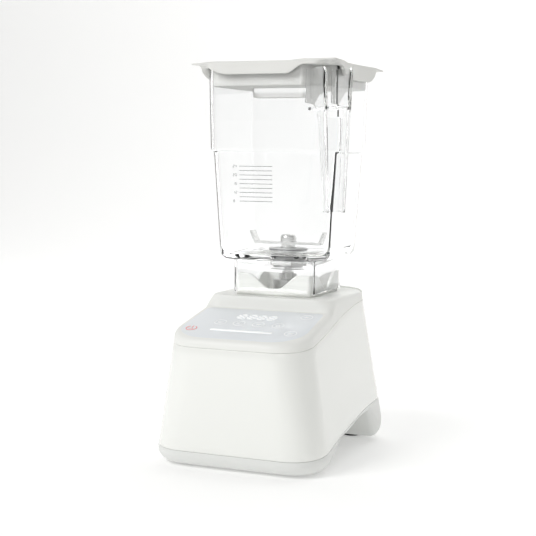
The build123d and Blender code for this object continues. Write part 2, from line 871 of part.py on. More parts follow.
with BuildPart() as rotor_core:
    with BuildSketch(axis_plane(stator_bottom)):
        Circle(stator_bore - rotor_gap)
        Circle(shaft_radius, mode=Mode.SUBTRACT)
        with PolarLocations(stator_bore - rotor_gap - 4, rotor_slots):
            SlotOverall(9, 2.4, mode=Mode.SUBTRACT)
    extrude(amount=stator_top - stator_bottom)
rotor_core.part.label = "rotor_core"
export_step(rotor_core.part, "parts/rotor_core.step")

with BuildPart() as commutator:
    with BuildSketch(axis_plane(commutator_bottom)):
        Circle(commutator_radius)
        Circle(shaft_radius, mode=Mode.SUBTRACT)
        with PolarLocations(commutator_radius, 2 * rotor_slots):
            Rectangle(2.4, 0.6, mode=Mode.SUBTRACT)
    extrude(amount=commutator_top - commutator_bottom)
commutator.part.label = "commutator"
export_step(commutator.part, "parts/commutator.step")

with BuildPart() as cooling_fan:
    with BuildSketch(axis_plane(fan_bottom)):
        Circle(fan_radius)
        Circle(shaft_radius, mode=Mode.SUBTRACT)
    extrude(amount=fan_plate)
    with BuildSketch(axis_plane(fan_bottom + fan_plate)):
        Circle(shaft_radius + 4)
        Circle(shaft_radius, mode=Mode.SUBTRACT)
        with PolarLocations((fan_radius + shaft_radius) / 2 + 2, fan_blades):
            Rectangle(fan_radius - shaft_radius - 6, 1.6, rotation=22)
    extrude(amount=fan_top - fan_bottom - fan_plate)
cooling_fan.part.label = "cooling_fan"
export_step(cooling_fan.part, "parts/cooling_fan.step")

with BuildPart() as drive_socket:
    with BuildSketch(axis_plane(drive_bottom)):
        Circle(drive_radius)
    extrude(amount=drive_top - drive_bottom)
    chamfer(drive_socket.edges().group_by(Axis.Z)[-1], 1.2)
    extrude(
        axis_plane(drive_top - recess_depth) * star(dog_radius + dog_clear, dog_root + dog_clear),
        amount=2 * recess_depth,
        mode=Mode.SUBTRACT,
    )
    with BuildSketch(axis_plane(drive_bottom)):
        Circle(shaft_radius)
    extrude(amount=drive_top - recess_depth - drive_floor - drive_bottom, mode=Mode.SUBTRACT)
drive_socket.part.label = "drive_socket"
export_step(drive_socket.part, "parts/drive_socket.step")


# ---------------------------------------------------------------- rear of the base
rear_normal = Vector(0, 1, rear_draft).normalized()


def rear_plane(x, z):
    """Plane on the base's rear face, looking out of it."""
    return Plane(origin=(x, rear_y(z), z), x_dir=(-1, 0, 0), z_dir=rear_normal)


with BuildPart() as switch_bezel:
    bezel_plane = rear_plane(switch_x, switch_z)
    outer_width = switch_width + 2 * switch_clear + 2 * bezel_rim - 0.6
    outer_height = switch_height + 2 * switch_clear + 2 * bezel_rim - 0.6
    with BuildSketch(bezel_plane):
        RectangleRounded(outer_width + 4, outer_height + 4, 2)
    extrude(amount=1.4)
    chamfer(switch_bezel.edges().group_by(Axis.Y)[-1], 0.5)
    with BuildSketch(bezel_plane):
        RectangleRounded(switch_width + 2 * bezel_rim - 1, switch_height + 2 * bezel_rim - 1, 1)
    extrude(amount=-switch_depth)
    with BuildSketch(bezel_plane.offset(5)):
        Rectangle(switch_width + 2 * switch_clear, switch_height + 2 * switch_clear)
    extrude(amount=-switch_depth - 3, mode=Mode.SUBTRACT)
switch_bezel.part.label = "switch_bezel"
export_step(switch_bezel.part, "parts/switch_bezel.step")

with BuildPart() as switch_rocker:
    with BuildSketch(Plane((switch_x, rear_y(switch_z), switch_z), (0, 1, 0), (1, 0, 0))):
        with BuildLine():
            half = switch_height / 2 - 0.6
            Polyline(
                (-switch_depth + 5, -half + 2),
                (0.6, -half),
                (1.4, -half + 1),
                (1.0, 0),
                (3.6, half - 1),
                (2.6, half),
                (-switch_depth + 5, half - 2),
                close=True,
            )
        make_face()
    extrude(amount=switch_width / 2, both=True)
switch_rocker.part.label = "switch_rocker"
export_step(switch_rocker.part, "parts/switch_rocker.step")

with BuildPart() as cord_gland:
    gland_plane = rear_plane(gland_x, gland_z)
    with BuildSketch(gland_plane):
        Circle(gland_radius + 2.5)
    extrude(amount=2)
    with BuildSketch(gland_plane.offset(2)):
        Circle(gland_radius - 0.5)
    extrude(amount=2)
    chamfer(cord_gland.edges().group_by(Axis.Y)[-1], 0.8)
    with BuildSketch(gland_plane):
        Circle(gland_radius - 0.6)
    extrude(amount=-gland_depth)
    with BuildSketch(gland_plane.offset(5)):
        Circle(cord_bore)
    extrude(amount=-gland_depth - 8, mode=Mode.SUBTRACT)
cord_gland.part.label = "cord_gland"
export_step(cord_gland.part, "parts/cord_gland.step")


# ---------------------------------------------------------------- jar
jar_floor_top = jar_bottom + jar_floor
handle_side = Plane(origin=(0, axis_y, 0), x_dir=(1, -1, 0), z_dir=(-1, -1, 0))
handle_front = Plane(origin=(0, axis_y, 0), x_dir=(1, 1, 0), z_dir=(1, -1, 0))


def handle_wedge(inset):
    """Slab through the handle whose width narrows from the top to the bottom."""
    top = handle_half_top - inset
    low = handle_half_bottom - inset
    slope = (top - low) / (handle_top - handle_bottom)
    above = top + slope * 20
    below = low - slope * 20
    with BuildSketch(handle_front) as view:
        with BuildLine():
            Polyline(
                (-below, handle_bottom - 20),
                (below, handle_bottom - 20),
                (above, handle_top + 20),
                (-above, handle_top + 20),
                close=True,
            )
        make_face()
    extrude(view.sketch, amount=2 * base_width, mode=Mode.INTERSECT)


with BuildPart() as handle_channel:
    with BuildSketch(handle_side):
        with BuildLine():
            web = handle_reach_bottom - handle_grip_depth + handle_wall
            Polyline(
                (40, handle_bridge_z + handle_wall + 1.4),
                (200, handle_bridge_z + handle_wall + 1.4),
                (200, handle_top + 10),
                (40, handle_top + 10),
                close=True,
            )
            Polyline(
                (web, handle_bottom - 10),
                (200, handle_bottom - 10),
                (200, handle_bridge_z),
                (web, handle_bridge_z),
                close=True,
            )
        make_face()
    extrude(amount=base_width, both=True)
    handle_wedge(handle_wall)

with BuildPart() as handle:
    grip_inner = handle_reach_bottom - handle_grip_depth
    with BuildSketch(handle_side):
        with BuildLine():
            FilletPolyline(
                (60, handle_top),
                (handle_reach_top, handle_top),
                (handle_reach_top - 1.5, handle_bridge_z),
                (handle_reach_bottom, handle_bottom),
                (grip_inner, handle_bottom),
                (grip_inner - 3, handle_bridge_z - 4),
                (86, handle_bridge_z + 6),
                (60, handle_bridge_z + 8),
                radius=[5, 30, 1.5, 1.5, 8, 14],
            )
            Line((60, handle_bridge_z + 8), (60, handle_top))
        make_face()
    extrude(amount=base_width, both=True)
    handle_wedge(0.0)
    add(handle_channel.part, mode=Mode.SUBTRACT)

with BuildPart() as jar_cavity:
    jar_loft(jar_levels(jar_floor_top, jar_rim_z + 5), jar_wall)
    fillet(jar_cavity.faces().sort_by(Axis.Z)[0].edges(), jar_floor_round)

with BuildPart() as jar:
    jar_loft(jar_levels(jar_bottom, jar_rim_z), 0.0)
    fillet(jar.faces().sort_by(Axis.Z)[0].edges(), jar_edge_round)
    with BuildSketch(axis_plane(platform_top + skirt_lift)):
        RectangleRounded(2 * skirt_half, 2 * skirt_half, skirt_corner)
    extrude(amount=jar_bottom + 1 - platform_top - skirt_lift)
    with BuildSketch(axis_plane(platform_top)):
        inner = skirt_half - skirt_wall
        RectangleRounded(2 * inner, 2 * inner, skirt_corner - skirt_wall)
    extrude(amount=jar_bottom - platform_top, mode=Mode.SUBTRACT)
    add(handle.part)
    add(jar_cavity.part, mode=Mode.SUBTRACT)
    with BuildSketch(axis_plane(jar_bottom - 1)):
        Circle(jar_bore)
    extrude(amount=3 * jar_floor, mode=Mode.SUBTRACT)
jar.part.label = "jar"
export_step(jar.part, "parts/jar.step")

hub_bottom = jar_bottom - hub_below
hub_top = jar_floor_top + gasket_thick + hub_flange
bearing_top = hub_bottom + 2 * jar_bearing_height

with BuildPart() as bearing_hub:
    with BuildSketch(axis_plane(hub_bottom)):
        Circle(jar_bore)
    extrude(amount=hub_top - hub_bottom)
    with BuildSketch(axis_plane(jar_floor_top + gasket_thick)):
        Circle(jar_bore + hub_lap)
    extrude(amount=hub_flange)
    chamfer(bearing_hub.edges().group_by(Axis.Z)[-1], 0.8)
    with BuildSketch(axis_plane(hub_bottom - 1)):
        Circle(bearing_radius)
    extrude(amount=bearing_top + 1 - hub_bottom, mode=Mode.SUBTRACT)
    with BuildSketch(axis_plane(hub_bottom)):
        Circle(seal_radius)
    extrude(amount=hub_top, mode=Mode.SUBTRACT)
bearing_hub.part.label = "bearing_hub"
export_step(bearing_hub.part, "parts/bearing_hub.step")

with BuildPart() as jar_gasket:
    with BuildSketch(axis_plane(jar_floor_top)):
        Circle(jar_bore + hub_lap)
        Circle(jar_bore, mode=Mode.SUBTRACT)
    extrude(amount=gasket_thick)
jar_gasket.part.label = "jar_gasket"
export_step(jar_gasket.part, "parts/jar_gasket.step")

with BuildPart() as hub_nut:
    with BuildSketch(axis_plane(jar_bottom - hub_nut_height)):
        RegularPolygon(jar_bore + hub_lap, 6)
        Circle(jar_bore, mode=Mode.SUBTRACT)
    extrude(amount=hub_nut_height)
hub_nut.part.label = "hub_nut"
export_step(hub_nut.part, "parts/hub_nut.step")

with BuildPart() as jar_bearings:
    for level in (hub_bottom, hub_bottom + jar_bearing_height):
        with BuildSketch(axis_plane(level + 0.1)):
            Circle(bearing_radius)
            Circle(blade_shaft_radius + running, mode=Mode.SUBTRACT)
        extrude(amount=jar_bearing_height - 0.2)
jar_bearings.part.label = "jar_bearings"
export_step(jar_bearings.part, "parts/jar_bearings.step")

with BuildPart() as shaft_seal:
    with BuildSketch(axis_plane(bearing_top)):
        Circle(seal_radius)
        Circle(blade_shaft_radius + running, mode=Mode.SUBTRACT)
    extrude(amount=hub_top - bearing_top)
    chamfer(shaft_seal.edges().group_by(Axis.Z)[-1].sort_by(SortBy.LENGTH)[0], 1.0)
shaft_seal.part.label = "shaft_seal"
export_step(shaft_seal.part, "parts/shaft_seal.step")


# ---------------------------------------------------------------- blade and its drive
shaft_top = blade_z + blade_thick + cap_height - 2.0

with BuildPart() as blade_shaft:
    with BuildSketch(axis_plane(dog_bottom + dog_floor)):
        Circle(blade_shaft_radius)
    extrude(amount=shaft_top - dog_bottom - dog_floor)
blade_shaft.part.label = "blade_shaft"
export_step(blade_shaft.part, "parts/blade_shaft.step")

with BuildPart() as blade:
    with BuildSketch(Plane((0, axis_y, 0), x_dir=(1, 0, 0), z_dir=(0, -1, 0))):
        with BuildLine():
            lift = blade_z + wing_rise
            bend = blade_reach - wing_run
            side = blade_thick * 0.9
            Polyline(
                (-blade_reach, lift),
                (-bend, blade_z),
                (bend, blade_z),
                (blade_reach, lift),
                (blade_reach - side, lift + 0.8),
                (bend - side / 2, blade_z + blade_thick),
                (-bend + side / 2, blade_z + blade_thick),
                (-blade_reach + side, lift + 0.8),
                close=True,
            )
        make_face()
    extrude(amount=blade_width / 2, both=True)
    with BuildSketch(axis_plane(blade_z - 1)):
        with BuildLine():
            tip = blade_width * 0.3
            Polyline(
                (-blade_reach - 1, -tip),
                (0, -blade_width / 2),
                (blade_reach + 1, -tip),
                (blade_reach + 1, tip),
                (0, blade_width / 2),
                (-blade_reach - 1, tip),
                close=True,
            )
        make_face()
    extrude(amount=2 * wing_rise, mode=Mode.INTERSECT)
    with BuildSketch(axis_plane(blade_z - 1)):
        Circle(blade_shaft_radius)
    extrude(amount=2 * blade_thick, mode=Mode.SUBTRACT)
blade.part.label = "blade"
export_step(blade.part, "parts/blade.step")

with BuildPart() as blade_cap:
    with BuildSketch(axis_plane(blade_z + blade_thick)):
        Circle(cap_radius)
    extrude(amount=cap_height)
    fillet(blade_cap.edges().group_by(Axis.Z)[-1], cap_height * 0.45)
    with BuildSketch(axis_plane(blade_z + blade_thick)):
        Circle(blade_shaft_radius)
    extrude(amount=cap_height - 2.0, mode=Mode.SUBTRACT)
blade_cap.part.label = "blade_cap"
export_step(blade_cap.part, "parts/blade_cap.step")

with BuildPart() as blade_collar:
    with BuildSketch(axis_plane(hub_top + collar_gap)):
        Circle(cap_radius - 1)
        Circle(blade_shaft_radius, mode=Mode.SUBTRACT)
    extrude(amount=blade_z - hub_top - collar_gap)
blade_collar.part.label = "blade_collar"
export_step(blade_collar.part, "parts/blade_collar.step")

with BuildPart() as slinger_disc:
    with BuildSketch(axis_plane(slinger_z)):
        Circle(slinger_radius)
        Circle(blade_shaft_radius, mode=Mode.SUBTRACT)
    extrude(amount=slinger_thick)
    chamfer(slinger_disc.edges().group_by(Axis.Z)[0].sort_by(SortBy.LENGTH)[-1], 0.6)
slinger_disc.part.label = "slinger_disc"
export_step(slinger_disc.part, "parts/slinger_disc.step")

with BuildPart() as drive_dog:
    extrude(axis_plane(dog_bottom) * star(dog_radius, dog_root), amount=dog_top - dog_bottom - 3)
    with BuildSketch(axis_plane(dog_top - 3)):
        Circle(dog_root)
    extrude(amount=3)
    with BuildSketch(axis_plane(dog_bottom + dog_floor)):
        Circle(blade_shaft_radius)
    extrude(amount=dog_top, mode=Mode.SUBTRACT)
drive_dog.part.label = "drive_dog"
export_step(drive_dog.part, "parts/drive_dog.step")


# ---------------------------------------------------------------- lid
def apron_cut(plane, low):
    """Shape the lower edge of two opposite aprons: low in the middle, high at the tips."""
    far = lid_tip + 10
    skin = jar_half_rim - 2
    points = [
        (-far, lid_tip_under + 1),
        (-lid_tip * 0.86, lid_tip_under - 0.5),
        (-lid_tip * 0.5, low),
        (0, low),
        (lid_tip * 0.5, low),
        (lid_tip * 0.86, lid_tip_under - 0.5),
        (far, lid_tip_under + 1),
    ]
    for side in (1, -1):
        with BuildSketch(plane.offset(side * skin)) as view:
            with BuildLine():
                edge = Spline(*points)
                low_line = Line((-far, 300), (far, 300))
                Line(edge @ 0, low_line @ 0)
                Line(edge @ 1, low_line @ 1)
            make_face()
        extrude(view.sketch, amount=side * 40, mode=Mode.SUBTRACT)


with BuildPart() as lid:
    with BuildSketch(axis_plane(lid_apron_side)):
        with BuildLine():
            tips = [(-lid_tip, -lid_tip), (lid_tip, -lid_tip), (lid_tip, lid_tip), (-lid_tip, lid_tip)]
            middles = [(0, -lid_side), (lid_side, 0), (0, lid_side), (-lid_side, 0)]
            for i in range(4):
                ThreePointArc(tips[i], middles[i], tips[(i + 1) % 4])
        make_face()
        fillet(vertices(), lid_tip_round)
    extrude(amount=lid_top - lid_apron_side)
    fillet(lid.edges().group_by(Axis.Z)[-1], lid_top_round)
    apron_cut(Plane((0, axis_y, 0), x_dir=(1, 0, 0), z_dir=(0, -1, 0)), lid_apron_front)
    apron_cut(Plane((0, axis_y, 0), x_dir=(0, 1, 0), z_dir=(1, 0, 0)), lid_apron_side)
    with BuildSketch(handle_front.offset(fifth_wall(jar_rim_z) - jar_wall / 2)):
        with BuildLine():
            Polyline(
                (-2.2 * handle_half_top, lid_plug_bottom),
                (2.2 * handle_half_top, lid_plug_bottom),
                (1.4 * handle_half_top, visor_under),
                (-1.4 * handle_half_top, visor_under),
                close=True,
            )
        make_face()
    extrude(amount=base_width, mode=Mode.SUBTRACT)
    with BuildSketch(axis_plane(lid_plug_bottom)):
        with GridLocations(2 * lid_tip, 2 * lid_tip, 2, 2):
            Rectangle(tip_square, tip_square)
    extrude(amount=lid_tip_under - lid_plug_bottom - 0.5, mode=Mode.SUBTRACT)
    jar_loft([lid_plug_bottom - 5, jar_rim_z + lid_rim_gap], -lid_clear, Mode.SUBTRACT)
    jar_loft([lid_plug_bottom, jar_rim_z + 1], jar_wall + lid_clear)
    bowl = jar_wall + lid_clear + lid_plug_wall
    jar_loft([lid_plug_bottom + lid_plug_floor, lid_top + 5], bowl, Mode.SUBTRACT)
    with BuildSketch(axis_plane(lid_plug_bottom)):
        with PolarLocations(vent_ring, vent_count):
            Circle(vent_radius)
    extrude(amount=2 * lid_plug_floor, mode=Mode.SUBTRACT)
lid.part.label = "lid"
export_step(lid.part, "parts/lid.step")
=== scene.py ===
"""Countertop blender: finished surfaces, finishes, light and camera round the fixed frame."""
import math

import bmesh
import bpy
import numpy as np
from mathutils import Matrix, Vector


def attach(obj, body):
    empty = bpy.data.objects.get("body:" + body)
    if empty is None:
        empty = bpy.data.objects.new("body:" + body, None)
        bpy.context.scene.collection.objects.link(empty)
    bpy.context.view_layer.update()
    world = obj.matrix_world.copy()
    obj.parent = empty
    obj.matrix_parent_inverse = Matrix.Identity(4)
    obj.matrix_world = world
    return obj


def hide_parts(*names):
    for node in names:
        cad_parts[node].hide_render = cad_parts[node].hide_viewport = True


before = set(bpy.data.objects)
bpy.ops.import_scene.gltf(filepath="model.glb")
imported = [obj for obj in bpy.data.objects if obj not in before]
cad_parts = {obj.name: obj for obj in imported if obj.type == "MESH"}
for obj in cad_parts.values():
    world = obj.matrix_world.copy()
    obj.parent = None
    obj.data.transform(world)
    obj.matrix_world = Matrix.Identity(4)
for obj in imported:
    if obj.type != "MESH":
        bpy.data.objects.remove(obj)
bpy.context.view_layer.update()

bl_info = {
    "name": "Countertop blender",
    "version": (1, 0, 0),
    "blender": (4, 5, 0),
    "location": "View3D > Sidebar > Countertop blender",
    "description": "Builds the blender's shells, jar, lid and panel round its mechanical frame",
    "category": "Add Mesh",
}

# ------------------------------------------------------------------ finishes: node groups
GRAIN_GROUP = "moulded_grain"
BRUSHED_GROUP = "brushed_lines"
GROUP_OUTPUTS = {
    "Colour": "NodeSocketColor", "Roughness": "NodeSocketFloat", "Height": "NodeSocketFloat"
}


def add_node(tree, kind, sockets, **settings):
    """Node of a kind with its settings. Each of its sockets is joined to another or set to a value."""
    made = tree.nodes.new(kind)
    for key, value in settings.items():
        setattr(made, key, value)
    for key, value in sockets.items():
        if isinstance(value, bpy.types.NodeSocket):
            tree.links.new(value, made.inputs[key])
        else:
            made.inputs[key].default_value = value
    return made


def add_group(name, inputs):
    """Empty shader group: its tree, and the sockets that come in, by name."""
    tree = bpy.data.node_groups.new(name, "ShaderNodeTree")
    for label, value in inputs.items():
        kind = "NodeSocketColor" if label == "Tint" else "NodeSocketFloat"
        tree.interface.new_socket(label, in_out="INPUT", socket_type=kind).default_value = value
    for label, kind in GROUP_OUTPUTS.items():
        tree.interface.new_socket(label, in_out="OUTPUT", socket_type=kind)
    return tree, tree.nodes.new("NodeGroupInput").outputs


def make_grain_group():
    """Moulded plastic skin: a fine pebble, slow flow marks, and a faint change of tint and shine."""
    tree, given = add_group(
        GRAIN_GROUP,
        {
            "Tint": (0.8, 0.8, 0.8, 1.0), "Pebble Scale": 900.0, "Flow Scale": 14.0,
            "Tint Change": 0.02, "Roughness": 0.3, "Roughness Change": 0.05,
        },
    )
    place = add_node(tree, "ShaderNodeTexCoord", {}).outputs["Object"]
    pebble = {"Vector": place, "Scale": given["Pebble Scale"], "Detail": 2.0}
    flow = {"Vector": place, "Scale": given["Flow Scale"], "Detail": 3.0, "Roughness": 0.45}
    pebble = add_node(tree, "ShaderNodeTexNoise", pebble).outputs["Fac"]
    flow = add_node(tree, "ShaderNodeTexNoise", flow).outputs["Fac"]
    centred = add_node(tree, "ShaderNodeMath", {0: flow, 1: 0.5}, operation="SUBTRACT").outputs[0]
    shade = {0: centred, 1: given["Tint Change"], 2: 1.0}
    shade = add_node(tree, "ShaderNodeMath", shade, operation="MULTIPLY_ADD").outputs[0]
    tinted = add_node(tree, "ShaderNodeVectorMath", {0: given["Tint"], "Scale": shade}, operation="SCALE")
    shine = {0: centred, 1: given["Roughness Change"], 2: given["Roughness"]}
    shine = add_node(tree, "ShaderNodeMath", shine, operation="MULTIPLY_ADD").outputs[0]
    add_node(tree, "NodeGroupOutput", {"Colour": tinted.outputs[0], "Roughness": shine, "Height": pebble})


def make_brushed_group():
    """Turned or brushed metal: fine rings round an upright axis, drawn as stretched noise."""
    tree, given = add_group(
        BRUSHED_GROUP,
        {"Tint": (0.6, 0.6, 0.6, 1.0), "Line Scale": 900.0, "Roughness": 0.25, "Roughness Change": 0.2},
    )
    place = add_node(tree, "ShaderNodeTexCoord", {}).outputs["Object"]
    stretch = add_node(tree, "ShaderNodeMapping", {"Vector": place, "Scale": (0.06, 0.06, 1.0)})
    lines = {"Vector": stretch.outputs["Vector"], "Scale": given["Line Scale"], "Detail": 3.0}
    lines = add_node(tree, "ShaderNodeTexNoise", lines).outputs["Fac"]
    shade = add_node(tree, "ShaderNodeMapRange", {"Value": lines, "To Min": 0.88, "To Max": 1.08})
    tinted = {0: given["Tint"], "Scale": shade.outputs["Result"]}
    tinted = add_node(tree, "ShaderNodeVectorMath", tinted, operation="SCALE").outputs[0]
    shine = {0: lines, 1: given["Roughness Change"], 2: given["Roughness"]}
    shine = add_node(tree, "ShaderNodeMath", shine, operation="MULTIPLY_ADD").outputs[0]
    add_node(tree, "NodeGroupOutput", {"Colour": tinted, "Roughness": shine, "Height": lines})


# ------------------------------------------------------------------ finishes: materials
FINISHES = {}


def finish(name):
    return FINISHES[name]


def new_material(name, group_name, values, depth, distance):
    """Material whose colour, roughness and bump come from one shader group. Returns its shader."""
    material = bpy.data.materials.new(name)
    FINISHES[name] = material
    material.use_nodes = True
    tree = material.node_tree
    shader = tree.nodes["Principled BSDF"]
    group = tree.nodes.new("ShaderNodeGroup")
    group.node_tree = bpy.data.node_groups[group_name]
    for key, value in values.items():
        group.inputs[key].default_value = value
    bump = {"Strength": depth, "Distance": distance, "Height": group.outputs["Height"]}
    bump = add_node(tree, "ShaderNodeBump", bump)
    tree.links.new(group.outputs["Colour"], shader.inputs["Base Color"])
    tree.links.new(group.outputs["Roughness"], shader.inputs["Roughness"])
    tree.links.new(bump.outputs["Normal"], shader.inputs["Normal"])
    return shader


def set_sockets(shader, **values):
    """Set constants on the shader's own sockets. An underscore in a key stands for a space."""
    for key, value in values.items():
        shader.inputs[key.replace("_", " ")].default_value = value


def plastic(name, tint, roughness, pebble=900.0, depth=0.05, coat=0.0, change=0.02):
    """Opaque moulded plastic or rubber with a fine grain."""
    values = {
        "Tint": (*tint, 1.0), "Pebble Scale": pebble, "Tint Change": change,
        "Roughness": roughness, "Roughness Change": roughness * 0.25,
    }
    shader = new_material(name, GRAIN_GROUP, values, depth, 0.0002)
    set_sockets(shader, IOR=1.49, Coat_Weight=coat, Coat_Roughness=0.04)


def metal(name, tint, roughness, depth=0.08, change=0.15):
    """Bare metal with turned or brushed lines."""
    values = {"Tint": (*tint, 1.0), "Roughness": roughness, "Roughness Change": change}
    set_sockets(new_material(name, BRUSHED_GROUP, values, depth, 0.0001), Metallic=1.0)


def clear_plastic(name, tint, roughness, ior):
    """Clear moulded plastic that lets lamp light through to what stands behind it."""
    values = {
        "Tint": (*tint, 1.0), "Pebble Scale": 60.0, "Tint Change": 0.01,
        "Roughness": roughness, "Roughness Change": 0.01,
    }
    shader = new_material(name, GRAIN_GROUP, values, 0.02, 0.0003)
    set_sockets(shader, Transmission_Weight=1.0, IOR=ior, Coat_Weight=0.7, Coat_Roughness=0.02)
    tree = finish(name).node_tree
    path = add_node(tree, "ShaderNodeLightPath", {}).outputs["Is Shadow Ray"]
    open_way = add_node(tree, "ShaderNodeBsdfTransparent", {"Color": (0.97, 0.975, 0.975, 1.0)})
    mix = {"Fac": path, 1: shader.outputs["BSDF"], 2: open_way.outputs["BSDF"]}
    mix = add_node(tree, "ShaderNodeMixShader", mix)
    tree.links.new(mix.outputs["Shader"], tree.nodes["Material Output"].inputs["Surface"])


def glowing(name, tint, strength):
    """Printed or back-lit mark on the panel."""
    values = {"Tint": (*tint, 1.0), "Pebble Scale": 700.0, "Tint Change": 0.03, "Roughness": 0.35}
    shader = new_material(name, GRAIN_GROUP, values, 0.02, 0.0001)
    set_sockets(shader, Emission_Color=(*tint, 1.0), Emission_Strength=strength)


def make_finishes():
    """Every finish of the blender and the stage."""
    c = colours()
    plastic("gloss_white", c.housing, 0.16, 500.0, 0.01, coat=0.6)
    plastic("satin_white", c.cover, 0.42, 1100.0, 0.10)
    plastic("tray_white", c.tray, 0.40, 1000.0, 0.08)
    plastic("lid_rubber", c.lid, 0.62, 1400.0, 0.14, change=0.03)
    plastic("panel_glass", c.panel, 0.3, 400.0, 0.01, coat=0.25)
    plastic("black_rubber", (0.02, 0.02, 0.021), 0.7, 1500.0, 0.2, change=0.2)
    plastic("dark_plastic", (0.035, 0.035, 0.038), 0.4, 1100.0, 0.12, change=0.1)
    plastic("carbon", (0.03, 0.03, 0.03), 0.6, 1800.0, 0.3, change=0.3)
    plastic("circuit_board", (0.02, 0.16, 0.06), 0.35, 300.0, 0.1, change=0.3)
    plastic("display_white", (0.85, 0.86, 0.87), 0.3, 600.0, 0.02)
    plastic("mark_grey", (0.16, 0.16, 0.165), 0.5, 800.0, 0.05)
    plastic("studio_paper", (0.90, 0.90, 0.895), 0.9, 60.0, 0.0, change=0.0)
    clear_plastic("clear_jar", (0.985, 0.988, 0.99), 0.01, 1.2)
    clear_plastic("clear_handle", (0.985, 0.988, 0.99), 0.01, 1.16)
    clear_plastic("frosted_hood", (0.97, 0.97, 0.965), 0.3, 1.25)
    metal("brushed_steel", (0.80, 0.80, 0.79), 0.2)
    metal("drive_steel", (0.72, 0.72, 0.71), 0.26)
    metal("bearing_steel", (0.60, 0.60, 0.61), 0.12, change=0.08)
    metal("zinc_screws", (0.66, 0.67, 0.68), 0.22)
    metal("cast_aluminium", (0.68, 0.68, 0.68), 0.38, depth=0.2)
    metal("lamination", (0.30, 0.30, 0.31), 0.35, depth=0.3)
    metal("copper", (0.72, 0.33, 0.17), 0.28, depth=0.3)
    glowing("panel_white", (0.93, 0.94, 0.95), 0.12)
    glowing("panel_light", (0.98, 0.99, 1.0), 0.35)
    glowing("panel_red", (0.85, 0.27, 0.27), 0.10)


NODE_FINISH = {
    "gloss_white": ("housing",),
    "satin_white": ("top_cover", "jar_socket"),
    "tray_white": ("base_tray",),
    "panel_glass": ("touch_panel",),
    "clear_jar": ("jar",),
    "lid_rubber": ("lid",),
    "black_rubber": ("drive_boot", "feet", "motor_isolators", "jar_gasket", "shaft_seal"),
    "dark_plastic": (
        "intake_grille", "brush_holders", "motor_shroud", "switch_bezel", "cord_gland",
        "cooling_fan", "switch_rocker",
    ),
    "display_white": ("display_module", "light_bar"),
    "circuit_board": ("control_board", "power_board"),
    "cast_aluminium": ("lower_bracket", "upper_bracket", "bearing_hub"),
    "bearing_steel": ("motor_bearings", "jar_bearings"),
    "lamination": ("stator_core", "rotor_core"),
    "copper": ("field_coils", "commutator"),
    "carbon": ("brushes",),
    "zinc_screws": ("housing_screws", "motor_bolts"),
    "drive_steel": ("motor_shaft", "drive_socket", "blade_shaft", "drive_dog", "hub_nut"),
    "brushed_steel": ("blade", "blade_cap", "blade_collar", "slinger_disc"),
}


# ------------------------------------------------------------------ meshes from arrays
SHARP_ANGLE = 38            # degrees: a cut's edges stay crisp past this
WELD, SLIVER = 2e-6, 1e-6   # metres: points this close are one, edges this short are dropped


def grid_faces(rows, columns, wrap_rows=True, wrap_columns=False):
    """Quads between neighbouring points of a grid, counted row by row."""
    row_count = rows if wrap_rows else rows - 1
    column_count = columns if wrap_columns else columns - 1
    i, j = np.meshgrid(np.arange(row_count), np.arange(column_count), indexing="ij")
    after_i, after_j = (i + 1) % rows, (j + 1) % columns
    corners = (i * columns + j, after_i * columns + j, after_i * columns + after_j, i * columns + after_j)
    return np.stack(corners, axis=-1).reshape(-1, 4)


def fill_mesh(name, points, faces):
    """New mesh object from an array of points in metres and an array of quads, closed and facing out."""
    mesh = bpy.data.meshes.new(name)
    mesh.vertices.add(len(points))
    mesh.vertices.foreach_set("co", np.asarray(points, dtype=np.float32).ravel())
    mesh.loops.add(faces.size)
    mesh.loops.foreach_set("vertex_index", faces.astype(np.int32).ravel())
    mesh.polygons.add(len(faces))
    mesh.polygons.foreach_set("loop_start", np.arange(0, faces.size, faces.shape[1], dtype=np.int32))
    mesh.update(calc_edges=True)
    shape = bmesh.new()
    shape.from_mesh(mesh)
    bmesh.ops.remove_doubles(shape, verts=shape.verts, dist=WELD)
    bmesh.ops.dissolve_degenerate(shape, edges=shape.edges, dist=SLIVER)
    bmesh.ops.recalc_face_normals(shape, faces=shape.faces)
    shape.to_mesh(mesh)
    shape.free()
    mesh.polygons.foreach_set("use_smooth", np.ones(len(mesh.polygons), dtype=bool))
    piece = bpy.data.objects.new(name, mesh)
    bpy.context.collection.objects.link(piece)
    return piece


def grid_mesh(name, points, wrap_rows=True, wrap_columns=False):
    """New mesh object from a grid of points. Rows, columns or both close into a loop."""
    return fill_mesh(name, points.reshape(-1, 3), grid_faces(*points.shape[:2], wrap_rows, wrap_columns))


def dress(piece, body, slot_name, *nodes):
    """Give a piece its finish and its body, and hide the frame nodes it stands for."""
    piece.data.materials.append(finish(slot_name))
    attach(piece, body)
    if nodes:
        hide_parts(*nodes)
    return piece


def cut(piece, tool):
    """Take a closed tool's shape out of a closed piece and remove the tool."""
    step = piece.modifiers.new("cut", "BOOLEAN")
    step.operation = "DIFFERENCE"
    step.solver = "EXACT"
    step.object = tool
    graph = bpy.context.evaluated_depsgraph_get()
    done = bpy.data.meshes.new_from_object(piece.evaluated_get(graph))
    piece.modifiers.clear()
    piece.data = done
    piece.data.set_sharp_from_angle(angle=math.radians(SHARP_ANGLE))
    bpy.data.objects.remove(tool, do_unlink=True)


def disc_tool(x, y, low, high, radius, sides=96):
    """Upright round cutter: a ring of points at two heights, closed to the axis at both ends."""
    turn = np.linspace(0.0, 2 * np.pi, sides, endpoint=False)[:, None]
    r = np.array([0.0, radius, radius, 0.0])[None, :]
    z = np.array([low, low, high, high])[None, :] + 0.0 * turn
    points = np.stack((x + r * np.cos(turn), y + r * np.sin(turn), z), axis=-1)
    return grid_mesh("cutter", points)


